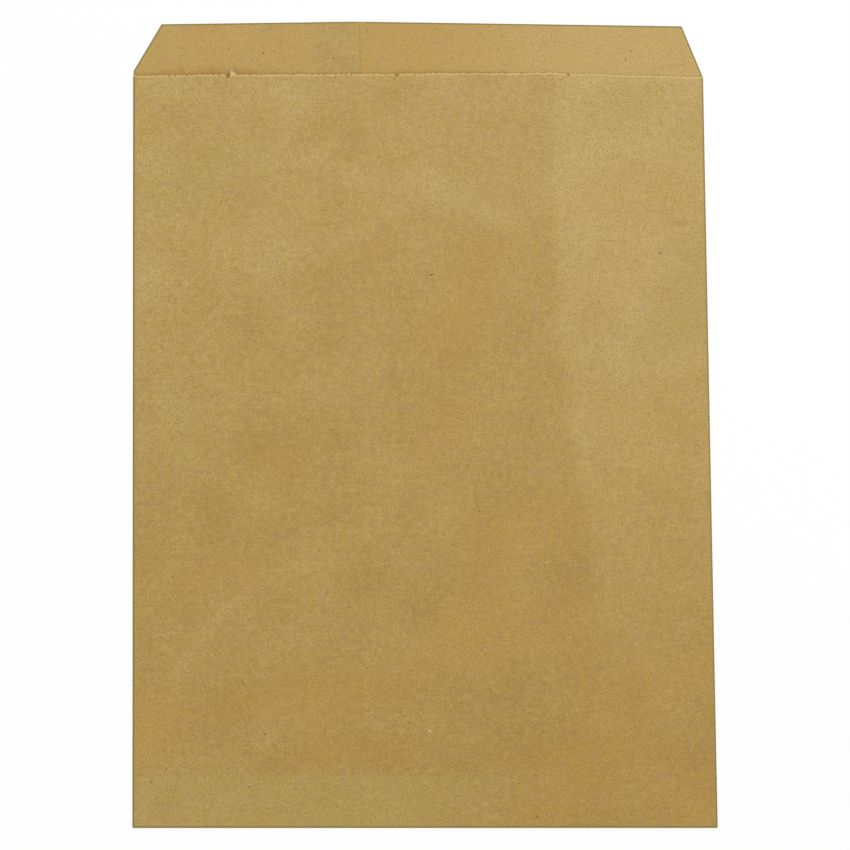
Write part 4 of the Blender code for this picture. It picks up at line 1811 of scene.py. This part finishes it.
@dataclass(frozen=True)
class KraftBag:
    """The folded sheet and its two lines of paste. Its strengths say how strongly the painted shade along
    folds and knife edges and the painted shadow in the tooth valleys show.
    """

    shape: BagShape
    paste_width: float = 0.006
    paste_margin: float = 0.004
    paste_fill: float = 0.9
    # Strengths of the painted shade along the folds, of the painted shadow in the tooth valleys and of the
    # painted shade along the lip's knife edges, which is weaker by the seam.
    fold_wear: float = 0.95
    right_fold_wear: float = 0.80
    right_fold_share: float = 0.98
    valley_wear: float = 0.85
    knife_wear: float = 0.95
    below_lip: float = 0.002
    seam_wear: float = 0.15
    seam_reach: float = 0.002
    back_graininess: float = 0.74

    def build_sheet(self) -> bpy.types.Object:
        """Folds the sheet, thickens it and dresses it.

        Returns:
            The finished piece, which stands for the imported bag.
        """
        s = self.shape.sizes
        sheet = PaperSheet(self.shape)
        blank = sheet.blank()
        u, v = sheet.cut_to_shape(*blank.places())
        piece = mesh_object("kraft_bag_sheet", self.shape.folded(u, v), blank.faces)
        paper_tone = PaperTone(self.shape)
        is_back = np.abs(u) >= s.back_start
        is_mouth = (np.abs(u) <= s.half_front) & (v > 0)
        is_lip = is_back & (v > s.front_length - self.below_lip)
        by_seam = np.abs(self.shape.back_x(u) - s.seam_edge_x) < self.seam_reach
        is_right_fold = u >= s.half_front * self.right_fold_share
        # Painted shade along the lip's knife edges, weaker by the seam's free edge.
        knife_wear = np.where(by_seam, self.seam_wear, self.knife_wear)
        valley = self.shape.saw.valley(u, s.half_front)
        give_attributes(
            piece,
            blank_place=np.column_stack((u, v, np.zeros_like(u))),
            tone=paper_tone.tone(u, v),
            warmth=paper_tone.warmth(u, v),
            cut_distance=sheet.cut_distance(u, v),
            fold_distance=sheet.fold_distance(u, v),
            # Strengths of the painted fold shade, of the mouth's pale torn fibres with their painted
            # highlight, of the painted valley shadow and of the painted knife-edge shade.
            fold_wear=np.where(is_right_fold, self.right_fold_wear, self.fold_wear),
            torn_wear=np.where(is_back, 0.0, self.shape.saw.tear(u, s.half_front)),
            valley_wear=np.where(is_mouth, self.valley_wear * valley, 0.0),
            knife_wear=np.where(is_lip, knife_wear, 0.0),
            above_mouth=paper_tone.above_mouth(u, v),
            shade_reach=paper_tone.shade_reach(u),
            graininess=np.where(is_back, self.back_graininess, 1.0),
        )
        piece.data.materials.append(KraftFinish("kraft_paper_sheet").material())
        piece.data.materials.append(CutEdgeFinish("kraft_cut_edge").material())
        thicken(piece, s.paper, rim_material=1)
        settle(piece)
        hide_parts(BAG_NODE)
        return piece

    def paste_strip(self, name: str, x: np.ndarray, y: np.ndarray, height: np.ndarray) -> bpy.types.Object:
        """A thin strip of dried paste between two layers, closed all round.

        Args:
            name: The piece's name.
            x: Its columns.
            y: Its rows.
            height: Height of the middle of the paste at each row.
        Returns:
            The finished piece.
        """
        across, along = np.meshgrid(x, y)
        up = np.repeat(height[:, None], len(x), axis=1)
        grid = np.arange(across.size).reshape(across.shape)
        blank = BlankMesh()
        blank.add_quads(grid)
        points = np.column_stack((across.ravel(), along.ravel() - self.shape.sizes.middle_y, up.ravel()))
        piece = mesh_object(name, points, blank.faces)
        piece.data.materials.append(PasteFinish(name + "_paste").material())
        thicken(piece, self.shape.sizes.glue_gap * self.paste_fill)
        settle(piece)
        return piece

    def build_paste(self) -> list[bpy.types.Object]:
        """Makes the paste in the back seam and the paste under the bottom flap.

        Returns:
            The two pieces.
        """
        s = self.shape.sizes
        middle = s.seam_edge_x - s.seam_lap / 2
        x = np.linspace(middle - self.paste_width / 2, middle + self.paste_width / 2, 5)
        y = np.linspace(self.paste_margin, s.lip_end - self.paste_margin, 120)
        seam = self.paste_strip("seam_paste", x, y, s.mid_paper + self.shape.flap_lift(y) + s.layer_step / 2)
        inset = max(s.left_cut, s.right_cut) + self.paste_margin
        x = np.linspace(inset - s.half_front, s.half_front - inset, 60)
        y = np.linspace(s.flap_length - self.paste_width, s.flap_length + self.paste_width, 5) / 2
        return [seam, self.paste_strip("flap_paste", x, y, np.full_like(y, s.mid_paper + s.layer_step / 2))]


TORN_KRAFT = KraftFinish(
    "torn_kraft",
    pulp=(0.640, 0.500, 0.235),
    shade=(0.520, 0.385, 0.150),
    light=(0.700, 0.570, 0.300),
    straw=(0.620, 0.470, 0.160),
    ash=(0.520, 0.390, 0.190),
)


@dataclass(frozen=True)
class TornFlake:
    """The flake of torn paper that stands up beside the left nick and curls over the lip."""

    shape: BagShape
    from_nick: float = 0.0024
    root_depth: float = 0.0010
    root_gap: float = 0.00012
    half_width: float = 0.0013
    reach: float = 0.0026
    bow: float = 1.25
    lean: float = 0.0002
    slant: float = 0.0005
    rise: float = 0.0007
    twist: float = 0.0003
    thinning: float = 0.7
    pale_edge: float = 0.0009

    def build(self) -> bpy.types.Object:
        """Makes the flake, a grid from its root on the mouth.

        It reaches out over the lip by the sine of the way out, narrows towards its tip, and rises by the
        square of the way out and by a twist across it.

        Returns:
            The finished piece.
        """
        s = self.shape.sizes
        across, out = np.meshgrid(np.linspace(-1, 1, 7), np.linspace(0, 1, 9))
        width = self.half_width * np.sqrt(1 - 0.80 * out ** 3) * (1 + 0.08 * np.sin(9 * out + across))
        root_x = self.shape.saw.nicks[0].x + self.from_nick
        root_y = s.front_length + float(s.mouth_rise(root_x)) - self.root_depth
        x = root_x + across * width - self.lean * out
        y = root_y + self.reach * np.sin(self.bow * out) - self.slant * across
        root = self.shape.front_rise(np.full_like(x, root_x), np.full_like(x, root_y))
        base = s.mid_paper + 2 * s.side_radius + root + self.root_gap
        z = base + self.rise * out ** 2 + self.twist * across * out
        blank = BlankMesh()
        blank.add_quads(np.arange(x.size).reshape(x.shape))
        points = np.column_stack((x.ravel(), y.ravel() - s.middle_y, z.ravel()))
        piece = mesh_object("torn_flake", points, blank.faces)
        give_attributes(
            piece,
            blank_place=np.column_stack((x.ravel(), y.ravel(), np.zeros(x.size))),
            tone=np.full(x.size, 0.7),
            warmth=np.full(x.size, -0.2),
            cut_distance=self.pale_edge * (1 - np.abs(across.ravel())),
            torn_wear=np.full(x.size, 0.5),
            valley_wear=np.zeros(x.size),
            fold_distance=np.full(x.size, FAR),
            above_mouth=np.full(x.size, 1.0),
            shade_reach=np.full(x.size, 0.001),
            graininess=np.full(x.size, 0.6),
        )
        piece.data.materials.append(TORN_KRAFT.material())
        thicken(piece, s.paper * self.thinning)
        settle(piece)
        return piece


@dataclass(frozen=True)
class Studio:
    """The plain pale floor, the soft light and the camera above the bag."""

    focal_px: float = 5000.0
    image_px: float = 850.0
    sensor_mm: float = 36.0
    camera_place: tuple[float, float, float] = (-0.2062, -0.3862, 2.1476)
    camera_turn: tuple[float, float, float] = (10.09, -5.5, 0.434)
    floor_size: float = 8.0
    floor_gap: float = 0.0001
    floor_white: float = 0.93
    floor_glow: float = 0.8
    world_level: float = 0.64
    key_size: float = 0.9
    key_watts: float = 19.0
    key_place: tuple[float, float, float] = (0.75, 0.95, 1.80)
    fill_size: float = 1.2
    fill_watts: float = 4.0
    fill_place: tuple[float, float, float] = (-1.1, -0.6, 1.5)

    def place_camera(self) -> None:
        """Sets the camera where the photograph was taken from: above the bag, towards its lower left."""
        data = bpy.data.cameras.new("bag_camera")
        data.sensor_width = self.sensor_mm
        data.lens = self.focal_px / self.image_px * self.sensor_mm
        camera = bpy.data.objects.new("bag_camera", data)
        camera.rotation_mode = "YXZ"
        camera.location = self.camera_place
        camera.rotation_euler = [math.radians(turn) for turn in self.camera_turn]
        bpy.context.scene.collection.objects.link(camera)
        bpy.context.scene.camera = camera

    def softbox(self, name: str, place: tuple[float, float, float], size: float, watts: float) -> None:
        """A square soft light aimed at the middle of the bag.

        Args:
            name: Its name.
            place: Where it hangs.
            size: Length of its side.
            watts: Its power.
        """
        data = bpy.data.lights.new(name, "AREA")
        data.shape = "SQUARE"
        data.size = size
        data.energy = watts
        light = bpy.data.objects.new(name, data)
        light.location = place
        x, y, z = place
        light.rotation_euler = (math.atan2(math.hypot(x, y), z), 0.0, math.atan2(x, -y))
        bpy.context.scene.collection.objects.link(light)

    def lay_floor(self) -> None:
        """Lays a white floor under the bag. The camera sees it nearly white, and the bag's shadow stays."""
        bpy.ops.mesh.primitive_plane_add(size=self.floor_size, location=(0.0, 0.0, -self.floor_gap))
        floor = bpy.context.object
        floor.name = "white_floor"
        material, bench, shader = new_material("white_floor")
        white = self.floor_white
        shader.inputs["Base Color"].default_value = (white, white, white, 1.0)
        shader.inputs["Roughness"].default_value = 0.9
        shader.inputs["Specular IOR Level"].default_value = 0.0
        seen = self.seen_rays(bench)
        glow = bench.add("ShaderNodeEmission")
        glow.inputs["Color"].default_value = (1.0, 1.0, 1.0, 1.0)
        glow.inputs["Strength"].default_value = 1.0
        mixed = bench.add("ShaderNodeMixShader")
        bench.feed(mixed.inputs[0], bench.calculate("MULTIPLY", seen, self.floor_glow))
        bench.feed(mixed.inputs[1], shader.outputs[0])
        bench.feed(mixed.inputs[2], glow.outputs[0])
        bench.feed(material.node_tree.nodes["Material Output"].inputs["Surface"], mixed.outputs[0])
        floor.data.materials.append(material)

    def seen_rays(self, bench: NodeBench) -> Socket:
        """One for a ray that the camera sees, straight, mirrored or through glass, and nothing for others."""
        path = bench.add("ShaderNodeLightPath")
        seen = bench.calculate("MAXIMUM", path.outputs["Is Camera Ray"], path.outputs["Is Glossy Ray"])
        return bench.calculate("MAXIMUM", seen, path.outputs["Is Transmission Ray"])

    def light_world(self) -> None:
        """Fills the room with even light, which the camera sees as white."""
        world = bpy.data.worlds.new("white_room")
        world.use_nodes = True
        bpy.context.scene.world = world
        bench = NodeBench(world.node_tree)
        background = world.node_tree.nodes["Background"]
        background.inputs["Color"].default_value = (1.0, 1.0, 1.0, 1.0)
        level = bench.remap(self.seen_rays(bench), 0.0, 1.0, self.world_level, 1.0)
        bench.feed(background.inputs["Strength"], level)

    def build(self) -> None:
        """Sets up the whole studio."""
        scene = bpy.context.scene
        scene.view_settings.view_transform = "Standard"
        self.place_camera()
        self.lay_floor()
        self.light_world()
        self.softbox("key_softbox", self.key_place, self.key_size, self.key_watts)
        self.softbox("fill_softbox", self.fill_place, self.fill_size, self.fill_watts)


def report(piece: bpy.types.Object) -> None:
    """Logs a piece's name and how many faces its mesh has."""
    log.info("%s: %d faces", piece.name, len(piece.data.polygons))


def main() -> None:
    """Builds the studio and every piece of the bag."""
    logging.basicConfig(level=logging.INFO)
    low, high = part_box(BAG_NODE)
    sizes = BagSizes(width=high[0] - low[0], overall_length=high[1] - low[1])
    shape = BagShape(sizes, SawCut())
    Studio().build()
    bag = KraftBag(shape)
    report(bag.build_sheet())
    for piece in bag.build_paste():
        report(piece)
    report(TornFlake(shape).build())
    report(FleckLayer(shape).build())


if __name__ == "__main__":
    main()
